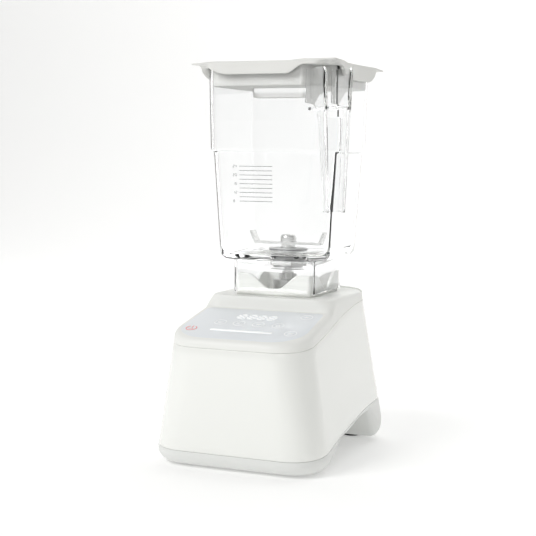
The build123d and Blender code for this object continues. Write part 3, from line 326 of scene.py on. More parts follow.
def box_tool(low, high):
    """Box-shaped cutter between two corners."""
    turn = np.radians([45.0, 135.0, 225.0, 315.0])[:, None]
    r = np.array([0.0, 1.0, 1.0, 0.0])[None, :]
    middle = [(a + b) / 2 for a, b in zip(low, high)]
    half = [(b - a) / 2 for a, b in zip(low, high)]
    x = middle[0] + half[0] * r * np.sign(np.cos(turn))
    y = middle[1] + half[1] * r * np.sign(np.sin(turn))
    z = np.array([low[2], low[2], high[2], high[2]])[None, :] + 0.0 * turn
    return grid_mesh("cutter", np.stack((x, y, z), axis=-1))


def smooth_step(t):
    """0 below 0, 1 above 1, and a smooth S between: three t squared less two t cubed."""
    t = np.clip(t, 0.0, 1.0)
    return t * t * (3.0 - 2.0 * t)


# ------------------------------------------------------------------ sizes and colours a user would change
def length_property(name, description, default):
    return bpy.props.FloatProperty(name=name, description=description, default=default, unit="LENGTH")


def angle_property(name, description, degrees):
    return bpy.props.FloatProperty(
        name=name, description=description, default=math.radians(degrees), subtype="ANGLE"
    )


def number_property(name, description, default):
    return bpy.props.FloatProperty(name=name, description=description, default=default)


def colour_property(name, description, default):
    return bpy.props.FloatVectorProperty(
        name=name, description=description, default=default, size=3, min=0.0, max=1.0, subtype="COLOR"
    )


class BlenderBaseSizes(bpy.types.PropertyGroup):
    """Sizes of the motor base."""

    width: length_property("Width", "Width of the base at the floor", 0.178)
    depth: length_property("Depth", "Depth of the base at the floor", 0.2295)
    corner: length_property("Corner", "Plan radius of the base's corners", 0.035)
    wall: length_property("Wall", "Thickness of the moulded shells", 0.003)
    gap: length_property("Seam gap", "Shadow line between two covers", 0.0002)
    tray_bottom: length_property("Tray bottom", "Height of the tray's underside", 0.002)
    deck_front: length_property("Deck front", "Height of the deck at the front face", 0.1236)
    platform_top: length_property("Platform top", "Height of the raised platform", 0.155)
    platform_front: length_property("Platform front", "Depth position of the platform's front", -0.0245)
    deck_slope: number_property("Deck slope", "Rise of the deck for each metre of depth", 0.225)


class BlenderJarSizes(bpy.types.PropertyGroup):
    """Sizes of the jar, its handle and its lid."""

    axis_y: length_property("Axis", "Depth position of the jar's upright axis", 0.0305)
    wall: length_property("Wall", "Thickness of the clear wall", 0.0032)
    bottom: length_property("Bottom", "Height of the jar's underside", 0.191)
    shoulder: length_property("Shoulder", "Height of the step in the walls", 0.2965)
    rim: length_property("Rim", "Height of the jar's rim", 0.381)
    lid_top: length_property("Lid top", "Height of the lid's top face", 0.386)
    lid_plug: length_property("Lid plug", "Height of the underside of the lid's plug", 0.361)


class BlenderColours(bpy.types.PropertyGroup):
    """Colours of the moulded parts."""

    housing: colour_property("Housing", "Glossy shell of the base", (0.91, 0.918, 0.885))
    cover: colour_property("Cover", "Satin deck, platform and socket", (0.885, 0.89, 0.86))
    tray: colour_property("Tray", "Lower shell of the base", (0.80, 0.81, 0.79))
    lid: colour_property("Lid", "Soft lid", (0.77, 0.77, 0.745))
    panel: colour_property("Panel", "Touch panel in the deck", (0.86, 0.89, 0.915))


class BlenderStudio(bpy.types.PropertyGroup):
    """The stage, its lamps and the camera."""

    azimuth: angle_property("Azimuth", "Camera's turn from the front", 22.75)
    elevation: angle_property("Elevation", "Camera's angle above level", 5.37)
    roll: angle_property("Roll", "Camera's turn round its own line of sight", 0.53)
    distance: length_property("Distance", "From the camera to the point it looks at", 1.24668)
    lens: number_property("Lens", "Focal length on a 36 mm frame", 83.54)
    key: number_property("Key lamp", "Power of the main soft lamp", 19.0)
    fill: number_property("Fill lamp", "Power of the front right lamp", 2.2)
    wash: number_property("Backdrop lamp", "Power of the lamp on the backdrop", 30.0)
    sky: number_property("Sky", "Strength of the even light", 0.41)
    paper_lift: number_property("Paper lift", "Light that the backdrop gives off by itself", 0.21)


def base_sizes():
    return bpy.context.scene.blender_base_sizes


def jar_sizes():
    return bpy.context.scene.blender_jar_sizes


def colours():
    return bpy.context.scene.blender_colours


def studio():
    return bpy.context.scene.blender_studio


# ------------------------------------------------------------------ base outline
SIDE_DRAFT = 0.15           # the walls lean in, metre per metre of height
FRONT_DRAFT = 0.02
REAR_DRAFT = 0.09
SEAM_FRONT, SEAM_REAR = 0.016, 0.0438
SEAM_RISE = ((-0.15, 0.0), (-0.098, 0.05), (-0.029, 0.52), (0.029, 0.83), (0.075, 0.97), (0.15, 1.0))
BAND_FRONT, BAND_REAR = 0.1152, 0.147
BAND_RISE = ((-0.15, 0.0), (-0.1, 0.03), (-0.058, 0.25), (0.016, 0.77), (0.072, 0.98), (0.15, 1.0))
ARCH_START, ARCH_END = -0.072, 0.080
ARCH_FRONT, ARCH_REAR = 0.026, 0.035
SWITCH_X, GLAND_X, REAR_FITTING_Z = 0.0281, -0.0281, 0.066
ARCH_FRONT_RUN, ARCH_REAR_RUN = 0.036, 0.032
SWITCH_HALF, GLAND_HALF = (0.0098, 0.0128), (0.0075, 0.0075)
GRILLE_RADIUS = 0.027
DRIVE_HOLE = 0.022
SEAM_LIP = 0.0004
END_REACH = 0.012           # how far the front and rear ends of the middle line stand in
PLATFORM_CORNER = 0.020
STEP_MIDDLE, STEP_BESIDE = 0.0032, 0.0125   # run of the platform's front step, and what it gains
STEP_FROM, STEP_OVER = 0.050, 0.017
COVER_EDGE, PLATFORM_EDGE = 0.0062, 0.0040
TRAY_EDGE, ARCH_EDGE, REAR_EDGE = 0.012, 0.004, 0.018


def half_width(z):
    return base_sizes().width / 2 - SIDE_DRAFT * z


def front_y(z):
    return -base_sizes().depth / 2 + FRONT_DRAFT * z


def rear_y(z):
    return base_sizes().depth / 2 - REAR_DRAFT * z


def soft_line(y, knots):
    """Smooth curve through knots: each point between two knots is a cubic with the knots' mean slopes."""
    at, value = (np.array(v) for v in zip(*knots))
    slope = np.gradient(value, at)
    y = np.clip(y, at[0], at[-1])
    i = np.clip(np.searchsorted(at, y, side="right") - 1, 0, len(at) - 2)
    run = at[i + 1] - at[i]
    t = (y - at[i]) / run
    start, end = value[i], value[i + 1]
    lean_in, lean_out = slope[i] * run, slope[i + 1] * run
    return (
        (2 * t**3 - 3 * t**2 + 1) * start
        + (t**3 - 2 * t**2 + t) * lean_in
        + (3 * t**2 - 2 * t**3) * end
        + (t**3 - t**2) * lean_out
    )


def tray_seam(y):
    return SEAM_FRONT + (SEAM_REAR - SEAM_FRONT) * soft_line(y, SEAM_RISE)


def band_seam(y):
    return BAND_FRONT + (BAND_REAR - BAND_FRONT) * soft_line(y, BAND_RISE)


def deck_height(y):
    s = base_sizes()
    return s.deck_front + s.deck_slope * (y - front_y(s.deck_front))


def side_shares(count, crowd):
    """Shares from 0 to 1 along a side, closer together round the share crowd, by even steps of the
    running sum of one plus a narrow bell."""
    t = np.linspace(0, 1, 2001)
    weight = 1 + (6 * np.exp(-(((t - crowd) / 0.045) ** 2)) if crowd is not None else 0 * t)
    run = np.concatenate(([0.0], np.cumsum((weight[1:] + weight[:-1]) / 2)))
    return np.interp(np.linspace(0, 1, count + 1), run / run[-1], t)


def outline_keys(side=70, front=26, arc=14, crowd=None):
    """Keys of the base's outline, anticlockwise: where each point lies along the straight sides, as
    shares of the box of the corners' centres, and its unit step out from there."""
    keys = []
    rearward = side_shares(side, crowd)
    forward = 1 - rearward[::-1]
    corners = ((1, -1, -90), (1, 1, 0), (-1, 1, 90), (-1, -1, 180))
    for n, (sx, sy, turn) in enumerate(corners):
        a = np.radians(turn + np.linspace(0, 90, arc, endpoint=False))
        keys.append(np.stack((sx + 0 * a, sy + 0 * a, np.cos(a), np.sin(a)), -1))
        nx, ny, _ = corners[(n + 1) % 4]
        t = np.linspace(0, 1, front + 1)[:-1] if nx != sx else (rearward if sx > 0 else forward)[:-1]
        out = np.radians(turn + 90.0)
        run = (sx + (nx - sx) * t, sy + (ny - sy) * t, np.cos(out) + 0 * t, np.sin(out) + 0 * t)
        keys.append(np.stack(run, -1))
    return np.concatenate(keys)


def outline(keys, z, inset):
    """Points of the base's outline at heights z, drawn in by an inset. The corner's radius shrinks by
    the inset, and past it the outline is a plain rectangle that closes on the middle line."""
    s = base_sizes()
    half_x, front, rear = half_width(z), front_y(z), rear_y(z)
    half_y, middle = (rear - front) / 2, (rear + front) / 2
    corner = np.maximum(s.corner - inset, 0.0)
    held = np.maximum(inset, s.corner)
    a, c, b, e = (keys[:, k][:, None] for k in range(4))
    x = a * (half_x - held) + b * corner
    y = middle + c * (half_y - held) + e * corner
    return x, y


def band_points(keys, low, high, rows):
    """Closed band round the base between two seam lines. rows holds, for each line of the band, its
    share of the way up, a step in height and its inset from the outer face."""
    share, step, inset = (np.array(v)[None, :] for v in zip(*rows))
    y = outline(keys, 0.08, 0.0)[1] + 0.0 * share
    for _ in range(4):
        z = low(y) * (1 - share) + high(y) * share + step
        x, y = outline(keys, z, inset + 0.0 * z)
    return np.stack((x, y, z), axis=-1)


def cap_skin(keys, seam, seam_step, rim, height, radius, tall, skin, rows, up):
    """Skin that starts at a seam, runs along the wall to a rounded rim and closes on the middle line.
    rim gives the rim's height by depth, height the surface's by width and depth, radius and tall the
    rounding's two half axes, skin is the depth under the outer face, and up is 1 or -1. Past the rim
    each point runs straight to the middle line."""
    s = base_sizes()
    y = outline(keys, 0.1, 0.0)[1]
    for _ in range(4):
        edge_r, edge_t = radius(y), tall(y)
        z_rim = rim(y) - up * edge_t
        y = outline(keys, z_rim, 0.0)[1]
    wall_rows, arc_rows, ring_rows = rows
    start = seam(y) + seam_step
    lip = up * SEAM_LIP
    t = np.linspace(0, 1, wall_rows)[None, :]
    z_lip = start + lip * np.array([[0.0, 0.4]])
    z_wall = np.concatenate((z_lip, start + lip + (z_rim - start - lip) * t), axis=1)
    inset_wall = np.concatenate((SEAM_LIP * np.array([[1.0, 0.25]]) * (skin == 0.0), 0.0 * t), axis=1)
    x_wall, y_wall = outline(keys, z_wall, inset_wall + skin + 0.0 * z_wall)
    turn = np.linspace(0, np.pi / 2, arc_rows + 1)[None, 1:]
    bend, bend_t = np.maximum(edge_r - skin, 0.0004), np.maximum(edge_t - skin, 0.0004)
    x_arc, y_arc = outline(keys, z_rim, edge_r - bend * np.cos(turn))
    z_arc = height(x_arc, y_arc) - up * (edge_t - bend_t * np.sin(turn))
    near_front = 1 - np.clip((y - front_y(z_rim)) / s.corner, 0, 1)
    near_rear = 1 - np.clip((rear_y(z_rim) - y) / s.corner, 0, 1)
    reach = END_REACH * near_front - END_REACH * near_rear
    v = np.linspace(0, 1, ring_rows + 1)[None, 1:] ** 1.15
    x_in, y_in = x_arc[:, -1:], y_arc[:, -1:]
    x_ring = x_in * (1 - v)
    y_ring = y_in + (y + reach - y_in) * v
    z_ring = height(x_ring, y_ring) - up * skin
    x = np.concatenate((x_wall, x_arc, x_ring), axis=1)
    y = np.concatenate((y_wall, y_arc, y_ring), axis=1)
    z = np.concatenate((z_wall, z_arc, z_ring), axis=1)
    return np.stack((x, y, z), axis=-1)


def cap_shell(name, wall, keys, seam, seam_step, rim, height, radius, tall, rows, up):
    """Closed shell of two such skins, a wall apart, joined along the seam."""
    shape = (keys, seam, seam_step, rim, height, radius, tall)
    outer = cap_skin(*shape, 0.0, rows, up)
    inner = cap_skin(*shape, wall, rows, up)
    points = np.concatenate((inner[:, ::-1], outer), axis=1)
    return grid_mesh(name, points)


# ------------------------------------------------------------------ base shells
def make_housing():
    """Band between the tray's seam and the cover's seam, with rounded lips and two openings at the rear."""
    s = base_sizes()
    half_gap = s.gap / 2
    shares = np.linspace(0, 1, 14)
    lip = SEAM_LIP
    outer = [(0, lip, 0.0)] + [(t, 0.0, 0.0) for t in shares[1:-1]] + [(1, -lip, 0.0)]
    rows = (
        [(0, 0.0, lip), (0, 0.3 * lip, 0.3 * lip)] + outer
        + [(1, -0.3 * lip, 0.3 * lip), (1, 0.0, lip), (1, 0.0, s.wall)]
        + [(t, 0.0, s.wall) for t in shares[::-1]]
    )
    keys = outline_keys()
    points = band_points(
        keys, lambda y: tray_seam(y) + half_gap, lambda y: band_seam(y) - half_gap, rows
    )
    piece = grid_mesh("housing_shell", points, True, True)
    back = rear_y(REAR_FITTING_Z)
    for x, (half_x, half_z) in ((SWITCH_X, SWITCH_HALF), (GLAND_X, GLAND_HALF)):
        low = (x - half_x, back - 0.02, REAR_FITTING_Z - half_z)
        high = (x + half_x, back + 0.02, REAR_FITTING_Z + half_z)
        cut(piece, box_tool(low, high))
    return dress(piece, "base", "gloss_white", "housing")


def cover_height(x, y):
    """Deck plane, lifted to the platform's level by a smooth step across the platform's rounded front
    line. The step is short in the middle and widens beside the deck, where it fairs into the band."""
    s = base_sizes()
    deck = deck_height(y)
    width = STEP_MIDDLE + STEP_BESIDE * smooth_step((np.abs(x) - STEP_FROM) / STEP_OVER)
    reach_x = np.abs(x) - (half_width(s.platform_top) + 0.004 - PLATFORM_CORNER)
    reach_y = (s.platform_front + PLATFORM_CORNER) - y
    outside = np.hypot(np.maximum(reach_x, 0), np.maximum(reach_y, 0))
    distance = outside + np.minimum(np.maximum(reach_x, reach_y), 0) - PLATFORM_CORNER
    lift = smooth_step(0.5 - distance / width)
    return deck + (s.platform_top - deck) * lift


def cover_rim(y):
    """Height of the cover along its outer rim."""
    return cover_height(half_width(0.14), y)


def make_top_cover():
    """Deck, raised platform and the band round them, in one skin with a wall and the drive's opening."""
    s = base_sizes()
    keys = outline_keys(side=110, front=30, arc=16, crowd=0.34)

    def edge(y):
        return COVER_EDGE - (COVER_EDGE - PLATFORM_EDGE) * smooth_step((y - s.platform_front) / 0.03)

    piece = cap_shell(
        "deck_cover", s.wall, keys, band_seam, s.gap / 2, cover_rim, cover_height, edge, edge, (6, 8, 60), 1
    )
    a = jar_sizes().axis_y
    cut(piece, disc_tool(0.0, a, s.platform_top - 0.01, s.platform_top + 0.01, DRIVE_HOLE))
    return dress(piece, "base", "satin_white", "top_cover")


def arch_share(y):
    """1 over the hand arch, 0 over the front and rear lobes, with an S between."""
    front = smooth_step((y - ARCH_START) / ARCH_FRONT_RUN)
    rear = smooth_step((ARCH_END - y) / ARCH_REAR_RUN)
    return front * rear


def tray_under(x, y):
    """Underside of the tray: flat lobes at the front and rear, and an arch that rises to the rear."""
    low = base_sizes().tray_bottom
    roof = ARCH_FRONT + (ARCH_REAR - ARCH_FRONT) * smooth_step((y + 0.032) / 0.07)
    return low + (roof - low) * arch_share(y)


def make_tray():
    """Lower shell with a large round along its bottom edge, which tightens over the arch."""
    s = base_sizes()
    keys = outline_keys(side=110, front=30, arc=16)

    def rim(y):
        return tray_under(0.0, y)

    def edge(y):
        over_arch = (TRAY_EDGE - ARCH_EDGE) * arch_share(y)
        return TRAY_EDGE - over_arch + (REAR_EDGE - TRAY_EDGE) * smooth_step((y - 0.075) / 0.025)

    def tall(y):
        return np.minimum(edge(y) * 1.3, 0.82 * (tray_seam(y) - rim(y)))

    piece = cap_shell(
        "tray_shell", s.wall * 0.9, keys, tray_seam, -s.gap / 2, rim, tray_under, edge, tall, (6, 12, 56), -1
    )
    a = jar_sizes().axis_y
    cut(piece, disc_tool(0.0, a, 0.02, 0.06, GRILLE_RADIUS))
    return dress(piece, "base", "tray_white", "base_tray")


# ------------------------------------------------------------------ control panel
PANEL_INSET = 0.005
PANEL_GAP = 0.0035
PANEL_THICK = 0.0012
PANEL_PROUD = 0.00015
MARK_PROUD = 0.0003


def deck_point(u, v, h):
    """Point of the deck: u across, v up the deck from its front edge, h out of it."""
    s = base_sizes()
    length = math.hypot(1.0, s.deck_slope)
    y = front_y(s.deck_front) + (v - s.deck_slope * h) / length
    z = s.deck_front + (s.deck_slope * v + h) / length
    return np.stack((u + 0 * v, y + 0 * u, z + 0 * u), axis=-1)


def deck_length():
    s = base_sizes()
    return (s.platform_front - front_y(s.deck_front)) * math.hypot(1.0, s.deck_slope)


def rounded_polygon(corners, radii, arc=12, run=24):
    """Closed outline: an arc at each corner, tangent to straight runs, each sampled evenly."""
    corners = np.asarray(corners, float)
    parts = []
    count = len(corners)
    starts, ends = [], []
    for i in range(count):
        here, before, after = corners[i], corners[i - 1], corners[(i + 1) % count]
        to_before = (before - here) / np.linalg.norm(before - here)
        to_after = (after - here) / np.linalg.norm(after - here)
        half = math.acos(float(np.clip(to_before @ to_after, -1, 1))) / 2
        inward = (to_before + to_after) / np.linalg.norm(to_before + to_after)
        middle = here + inward * radii[i] / math.sin(half)
        first = here + to_before * radii[i] / math.tan(half)
        last = here + to_after * radii[i] / math.tan(half)
        a0, a1 = (math.atan2(*(p - middle)[::-1]) for p in (first, last))
        a1 = a0 + (a1 - a0 + math.pi) % (2 * math.pi) - math.pi
        a = np.linspace(a0, a1, arc)
        parts.append(middle + radii[i] * np.stack((np.cos(a), np.sin(a)), -1))
        starts.append(first)
        ends.append(last)
    joined = []
    for i in range(count):
        joined.append(parts[i])
        t = np.linspace(0, 1, run + 1, endpoint=False)[1:, None]
        joined.append(ends[i] * (1 - t) + starts[(i + 1) % count] * t)
    return np.concatenate(joined)


def make_panel():
    """Thin clear-coated plate that follows the deck, from its rounded edge in to a middle point."""
    s = base_sizes()
    near, far = PANEL_INSET, deck_length() - PANEL_GAP
    front_half = half_width(s.deck_front) - PANEL_INSET
    rear_half = half_width(deck_height(s.platform_front)) - PANEL_INSET - 0.001
    edge = rounded_polygon(
        [(-front_half, near), (front_half, near), (rear_half, far), (-rear_half, far)],
        [s.corner - PANEL_INSET, s.corner - PANEL_INSET, 0.006, 0.006],
    )
    middle = np.array([0.0, (near + far) / 2])
    size = np.linalg.norm(edge - middle, axis=1)[:, None]
    drawn_in = np.array([0.0, 0.0, 0.00012, 0.0004, 0.02, 1.0])[None, :]
    scale = np.where(drawn_in == 1.0, 0.0, 1.0 - drawn_in / size)
    scale = np.concatenate((np.array([[0.0]]) + 0 * size, scale), axis=1)
    h = np.array([-PANEL_THICK, -PANEL_THICK, -0.0003, -0.00008, 0.0, 0.0, 0.0]) + PANEL_PROUD
    u = middle[0] + (edge[:, :1] - middle[0]) * scale
    v = middle[1] + (edge[:, 1:] - middle[1]) * scale
    points = deck_point(u, v, h[None, :] + 0 * u)
    piece = grid_mesh("panel_plate", points)
    return dress(piece, "base", "panel_glass", "touch_panel")


def ribbon(path, width, closed):
    """Flat strip along a plane path: four points at each station, as (across, along, level) arrays."""
    path = np.asarray(path, float)
    if closed:
        along = np.roll(path, -1, axis=0) - np.roll(path, 1, axis=0)
    else:
        along = np.gradient(path, axis=0)
    along /= np.linalg.norm(along, axis=1)[:, None]
    side = np.stack((-along[:, 1], along[:, 0]), -1) * width / 2
    left, right = path + side, path - side
    plane = np.stack((left, right, right, left), axis=1)
    level = np.tile(np.array([0.0, 0.0, 1.0, 1.0]), (len(path), 1))
    faces = grid_faces(len(path), 4, closed, True)
    if not closed:
        last = 4 * (len(path) - 1)
        faces = np.concatenate((faces, [[0, 1, 2, 3], [last, last + 1, last + 2, last + 3]]))
    return plane.reshape(-1, 2), level.reshape(-1), faces


def joined_ribbons(strips):
    """Several strips as one set of points, levels and faces."""
    plane, level, faces, used = [], [], [], 0
    for path, width, closed in strips:
        p, l, f = ribbon(path, width, closed)
        plane.append(p)
        level.append(l)
        faces.append(f + used)
        used += len(p)
    return np.concatenate(plane), np.concatenate(level), np.concatenate(faces)


def ring_path(u, v, radius, start=0.0, end=360.0, count=40):
    a = np.radians(np.linspace(start, end, count, endpoint=end - start < 359.9))
    return np.stack((u + radius * np.cos(a), v + radius * np.sin(a)), -1)


def line_path(u0, v0, u1, v1):
    t = np.linspace(0, 1, 3)[:, None]
    return np.array([[u0, v0]]) * (1 - t) + np.array([[u1, v1]]) * t


SEGMENTS = {
    "top": (0.0, 1.0, 1.0, 1.0), "upper_left": (0.0, 0.5, 0.0, 1.0), "upper_right": (1.0, 0.5, 1.0, 1.0),
    "middle": (0.0, 0.5, 1.0, 0.5), "lower_left": (0.0, 0.0, 0.0, 0.5), "lower_right": (1.0, 0.0, 1.0, 0.5),
    "bottom": (0.0, 0.0, 1.0, 0.0),
}
DIGITS = {
    "0": "top upper_left upper_right lower_left lower_right bottom",
    "1": "upper_right lower_right",
    "2": "top upper_right middle lower_left bottom",
    "4": "upper_left upper_right middle lower_right",
    "6": "top upper_left middle lower_left lower_right bottom",
    "8": "top upper_left upper_right middle lower_left lower_right bottom",
}


def digit_strips(text, u, v, width, height, pitch, stroke, slant):
    """Seven-stroke digits of a number display, drawn as short bars with a gap at each end."""
    strips = []
    for n, digit in enumerate(text):
        for name in DIGITS[digit].split():
            u0, v0, u1, v1 = SEGMENTS[name]
            start = np.array([u0 * width, v0 * height])
            end = np.array([u1 * width, v1 * height])
            pull = (end - start) / np.linalg.norm(end - start) * stroke * 0.62
            start, end = start + pull, end - pull
            offset = u + n * pitch
            path = line_path(*start, *end)
            path = path + np.array([offset, v]) + path[:, 1:] * np.array([[slant, 0.0]])
            strips.append((path, stroke, False))
    return strips


def marks_piece(name, strips, slot_name):
    plane, level, faces = joined_ribbons(strips)
    height = PANEL_PROUD + MARK_PROUD * level - 0.0001
    points = deck_point(plane[:, 0], plane[:, 1], height)
    piece = fill_mesh(name, points, faces)
    piece.data.materials.append(finish(slot_name))
    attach(piece, "base")
    return piece


def key_mark(u, v, kind):
    """Round touch key: a ring with a small plain sign in it."""
    strips = [(ring_path(u, v, 0.0058), 0.00075, True)]
    s = 0.0024
    if kind == "pulse":
        for level in (v - 0.0016, v, v + 0.0016):
            strips += [(line_path(u - s, level, u + s, level), 0.0007, False)]
    elif kind == "cup":
        strips += [(ring_path(u, v + 0.0006, s, 180.0, 360.0, 14), 0.0008, False)]
        strips += [(line_path(u - s * 1.2, v + 0.0009, u + s * 1.2, v + 0.0009), 0.0008, False)]
    elif kind == "drop":
        strips += [(ring_path(u, v - 0.0005, s * 0.8), 0.0008, True)]
        strips += [(line_path(u, v + 0.0012, u, v + 0.0034), 0.0008, False)]
    elif kind == "star":
        for a in np.radians((0, 60, 120)):
            du, dv = s * math.cos(a), s * math.sin(a)
            strips += [(line_path(u - du, v - dv, u + du, v + dv), 0.0006, False)]
    return strips


def panel_v(y):
    """Distance up the deck for a depth y."""
    s = base_sizes()
    return (y - front_y(s.deck_front)) * math.hypot(1.0, s.deck_slope)


def make_panel_marks():
    """Generic signs of the panel: power, number display, touch keys and the speed slider."""
    keys = []
    for u, kind in ((-0.0307, "cup"), (-0.0112, "pulse"), (0.0088, "star"), (0.0291, "drop")):
        keys += key_mark(u, panel_v(-0.0662), kind)
    keys += key_mark(0.0480, panel_v(-0.0402), "star")
    keys += key_mark(0.0487, panel_v(-0.0838), "pulse")
    marks_piece("panel_keys", keys, "panel_white")
    v = panel_v(-0.0863)
    power = [(ring_path(-0.0522, v, 0.0052, 122.0, 418.0, 34), 0.0009, False)]
    power += [(line_path(-0.0522, v + 0.0012, -0.0522, v + 0.0058), 0.0009, False)]
    power += [(line_path(-0.0548, v - 0.0014, -0.0496, v - 0.0014), 0.0006, False)]
    marks_piece("panel_power", power, "panel_red")
    digits = digit_strips("8888", -0.0196, panel_v(-0.0531), 0.0066, 0.0098, 0.0104, 0.0017, 0.12)
    marks_piece("panel_digits", digits, "panel_light")
    v = panel_v(-0.0861)
    marks_piece("panel_slider", [(line_path(-0.032, v, 0.031, v), 0.0032, False)], "panel_light")


# ------------------------------------------------------------------ shapes round the jar's axis
TURN_COUNT = 420


def turns():
    return np.linspace(-np.pi, np.pi, TURN_COUNT, endpoint=False)


def polar_ring(edge):
    """Distance from the axis to a closed outline in each of the shared directions."""
    angle = np.arctan2(edge[:, 1], edge[:, 0])
    order = np.argsort(angle)
    return np.interp(turns(), angle[order], np.hypot(edge[:, 0], edge[:, 1])[order], period=2 * np.pi)


def turned_mesh(name, rows, wrap_columns=False):
    """Mesh turned round the jar's axis. rows holds a distance and a height for each ring, and either may
    change with the direction."""
    a = turns()[:, None]
    radius, z = (np.stack([np.broadcast_to(v, a.shape[0]) for v in part], -1) for part in zip(*rows))
    points = np.stack((radius * np.cos(a), jar_sizes().axis_y + radius * np.sin(a), z), axis=-1)
    return grid_mesh(name, points, True, wrap_columns)


def sideways(a):
    """How far a direction leans from the nearest axis to the corner between them: 0 to 1."""
    run_x, run_y = np.abs(np.cos(a)), np.abs(np.sin(a))
    return np.minimum(run_x, run_y) / np.maximum(run_x, run_y)


def square_ring(half, corner):
    corners = [(-half, -half), (half, -half), (half, half), (-half, half)]
    return polar_ring(rounded_polygon(corners, [corner] * 4, arc=14, run=60))


SOCKET_HALF, SOCKET_WALL = 0.0403, 0.0032
SOCKET_DIP, SOCKET_PEAK = 0.1625, 0.177     # heights of the top edge mid-side and at the corners


def make_socket():
    """Square upstand whose walls dip in the middle of each side, with a floor and a round opening."""
    s = base_sizes()
    low, floor = s.platform_top, 0.003
    outer = square_ring(SOCKET_HALF, 0.004)
    inner = square_ring(SOCKET_HALF - SOCKET_WALL, 0.0025)
    across = sideways(turns())
    top = SOCKET_DIP + (SOCKET_PEAK - SOCKET_DIP) * smooth_step((across - 0.10) / 0.62)
    top = top - 0.0009 * smooth_step((across - 1.0) / 0.12)
    rows = [
        (outer, low), (outer, low + 0.3 * (top - low)), (outer, low + 0.7 * (top - low)),
        (outer, top - 0.0012), (outer * 0.994 + inner * 0.006, top - 0.0005),
        (outer * 0.8 + inner * 0.2, top), (outer * 0.25 + inner * 0.75, top),
        (inner, top - 0.0009), (inner, low + floor + 0.5 * (top - low - floor)),
        (inner, low + floor + 0.001), (inner - 0.001, low + floor),
        (DRIVE_HOLE, low + floor), (DRIVE_HOLE, low),
    ]
    return dress(turned_mesh("socket_upstand", rows, True), "base", "satin_white", "jar_socket")


# ------------------------------------------------------------------ jar
HALF_BOTTOM, HALF_BELOW, HALF_ABOVE, HALF_RIM = 0.0559, 0.0614, 0.0638, 0.0653
SHOULDER_RISE = 0.004
FIFTH_BOTTOM, FIFTH_RIM = 0.0626, 0.073
JAR_CORNER, JAR_CREASE = 0.016, 0.007
JAR_FLOOR = 0.0055
JAR_BORE = 0.015
SKIRT_HALF, SKIRT_CORNER, SKIRT_WALL, SKIRT_LOW = 0.0433, 0.007, 0.0024, 0.158


def jar_half(z):
    """Half width of the jar: two straight tapers with a short shoulder between them."""
    j = jar_sizes()
    return float(np.interp(z, [j.bottom, j.shoulder, j.shoulder + SHOULDER_RISE, j.rim],
                           [HALF_BOTTOM, HALF_BELOW, HALF_ABOVE, HALF_RIM]))


def fifth_wall(z):
    j = jar_sizes()
    share = (z - j.bottom) / (j.rim - j.bottom)
    return FIFTH_BOTTOM + share * (FIFTH_RIM - FIFTH_BOTTOM)


def jar_ring(z, inset):
    """Square outline with round corners and one corner cut off, drawn in by an inset."""
    half = jar_half(z) - inset
    cut_at = (fifth_wall(z) - inset) * math.sqrt(2) - half
    corner = max(JAR_CORNER - inset, 0.002)
    crease = max(JAR_CREASE - inset / 2, 0.002)
    corners = [(-half, -half), (cut_at, -half), (half, -cut_at), (half, half), (-half, half)]
    return polar_ring(rounded_polygon(corners, [corner, crease, crease, corner, corner], arc=14, run=60))


def make_jar():
    """One closed wall: from the bore out under the floor, down and up the skirt, round the bottom edge,
    up the outside over the rim, down the inside, round the inner floor's edge and back to the bore."""
    j = jar_sizes()
    floor = j.bottom + JAR_FLOOR
    bore = JAR_BORE
    skirt_in = square_ring(SKIRT_HALF - SKIRT_WALL, SKIRT_CORNER - SKIRT_WALL)
    skirt_out = square_ring(SKIRT_HALF, SKIRT_CORNER)
    rows = [(bore, j.bottom), (bore + 0.0005, j.bottom), (skirt_in - 0.0008, j.bottom),
            (skirt_in, j.bottom - 0.0008), (skirt_in, SKIRT_LOW + 0.01), (skirt_in, SKIRT_LOW + 0.0006),
            (skirt_in + 0.0006, SKIRT_LOW), (skirt_out - 0.0006, SKIRT_LOW), (skirt_out, SKIRT_LOW + 0.0006),
            (skirt_out, SKIRT_LOW + 0.01), (skirt_out, j.bottom - 0.0015),
            (skirt_out + 0.0004, j.bottom - 0.0004), (skirt_out + 0.0015, j.bottom)]
    edge = 0.008
    for a in np.radians(np.linspace(0, 90, 8)):
        z = j.bottom + edge * (1 - math.cos(a))
        rows.append((jar_ring(z, edge * (1 - math.sin(a))), z))
    levels = list(np.linspace(j.bottom + 0.014, j.shoulder - 0.001, 8))
    step = [j.shoulder + k for k in (-0.0003, 0.0006, 0.0013, 0.002, 0.0027, 0.0034, 0.0043)]
    upper = list(np.linspace(j.shoulder + 0.0055, j.rim - 0.0012, 6))
    bump = [0.0, 0.00015, 0.0002, 0.0, -0.0002, -0.00015, 0.0]
    rows += [(jar_ring(z, 0.0), z) for z in levels]
    rows += [(jar_ring(z, b), z) for z, b in zip(step, bump)]
    rows += [(jar_ring(z, 0.0), z) for z in upper]
    rows += [(jar_ring(j.rim, 0.0003), j.rim - 0.0003), (jar_ring(j.rim, 0.001), j.rim),
             (jar_ring(j.rim, j.wall - 0.001), j.rim), (jar_ring(j.rim, j.wall - 0.0003), j.rim - 0.0003)]
    rows += [(jar_ring(z, j.wall), z) for z in upper[::-1]]
    rows += [(jar_ring(z, j.wall + b), z) for z, b in zip(step[::-1], bump[::-1])]
    rows += [(jar_ring(z, j.wall), z) for z in levels[::-1] if z > floor + 0.010]
    edge = 0.009
    for a in np.radians(np.linspace(90, 0, 8)):
        z = floor + edge * (1 - math.cos(a))
        rows.append((jar_ring(z, j.wall + edge * (1 - math.sin(a))), z))
    rows += [(bore + 0.012, floor), (bore + 0.0005, floor), (bore, floor)]
    return dress(turned_mesh("jar_body", rows, True), "jar", "clear_jar", "jar")


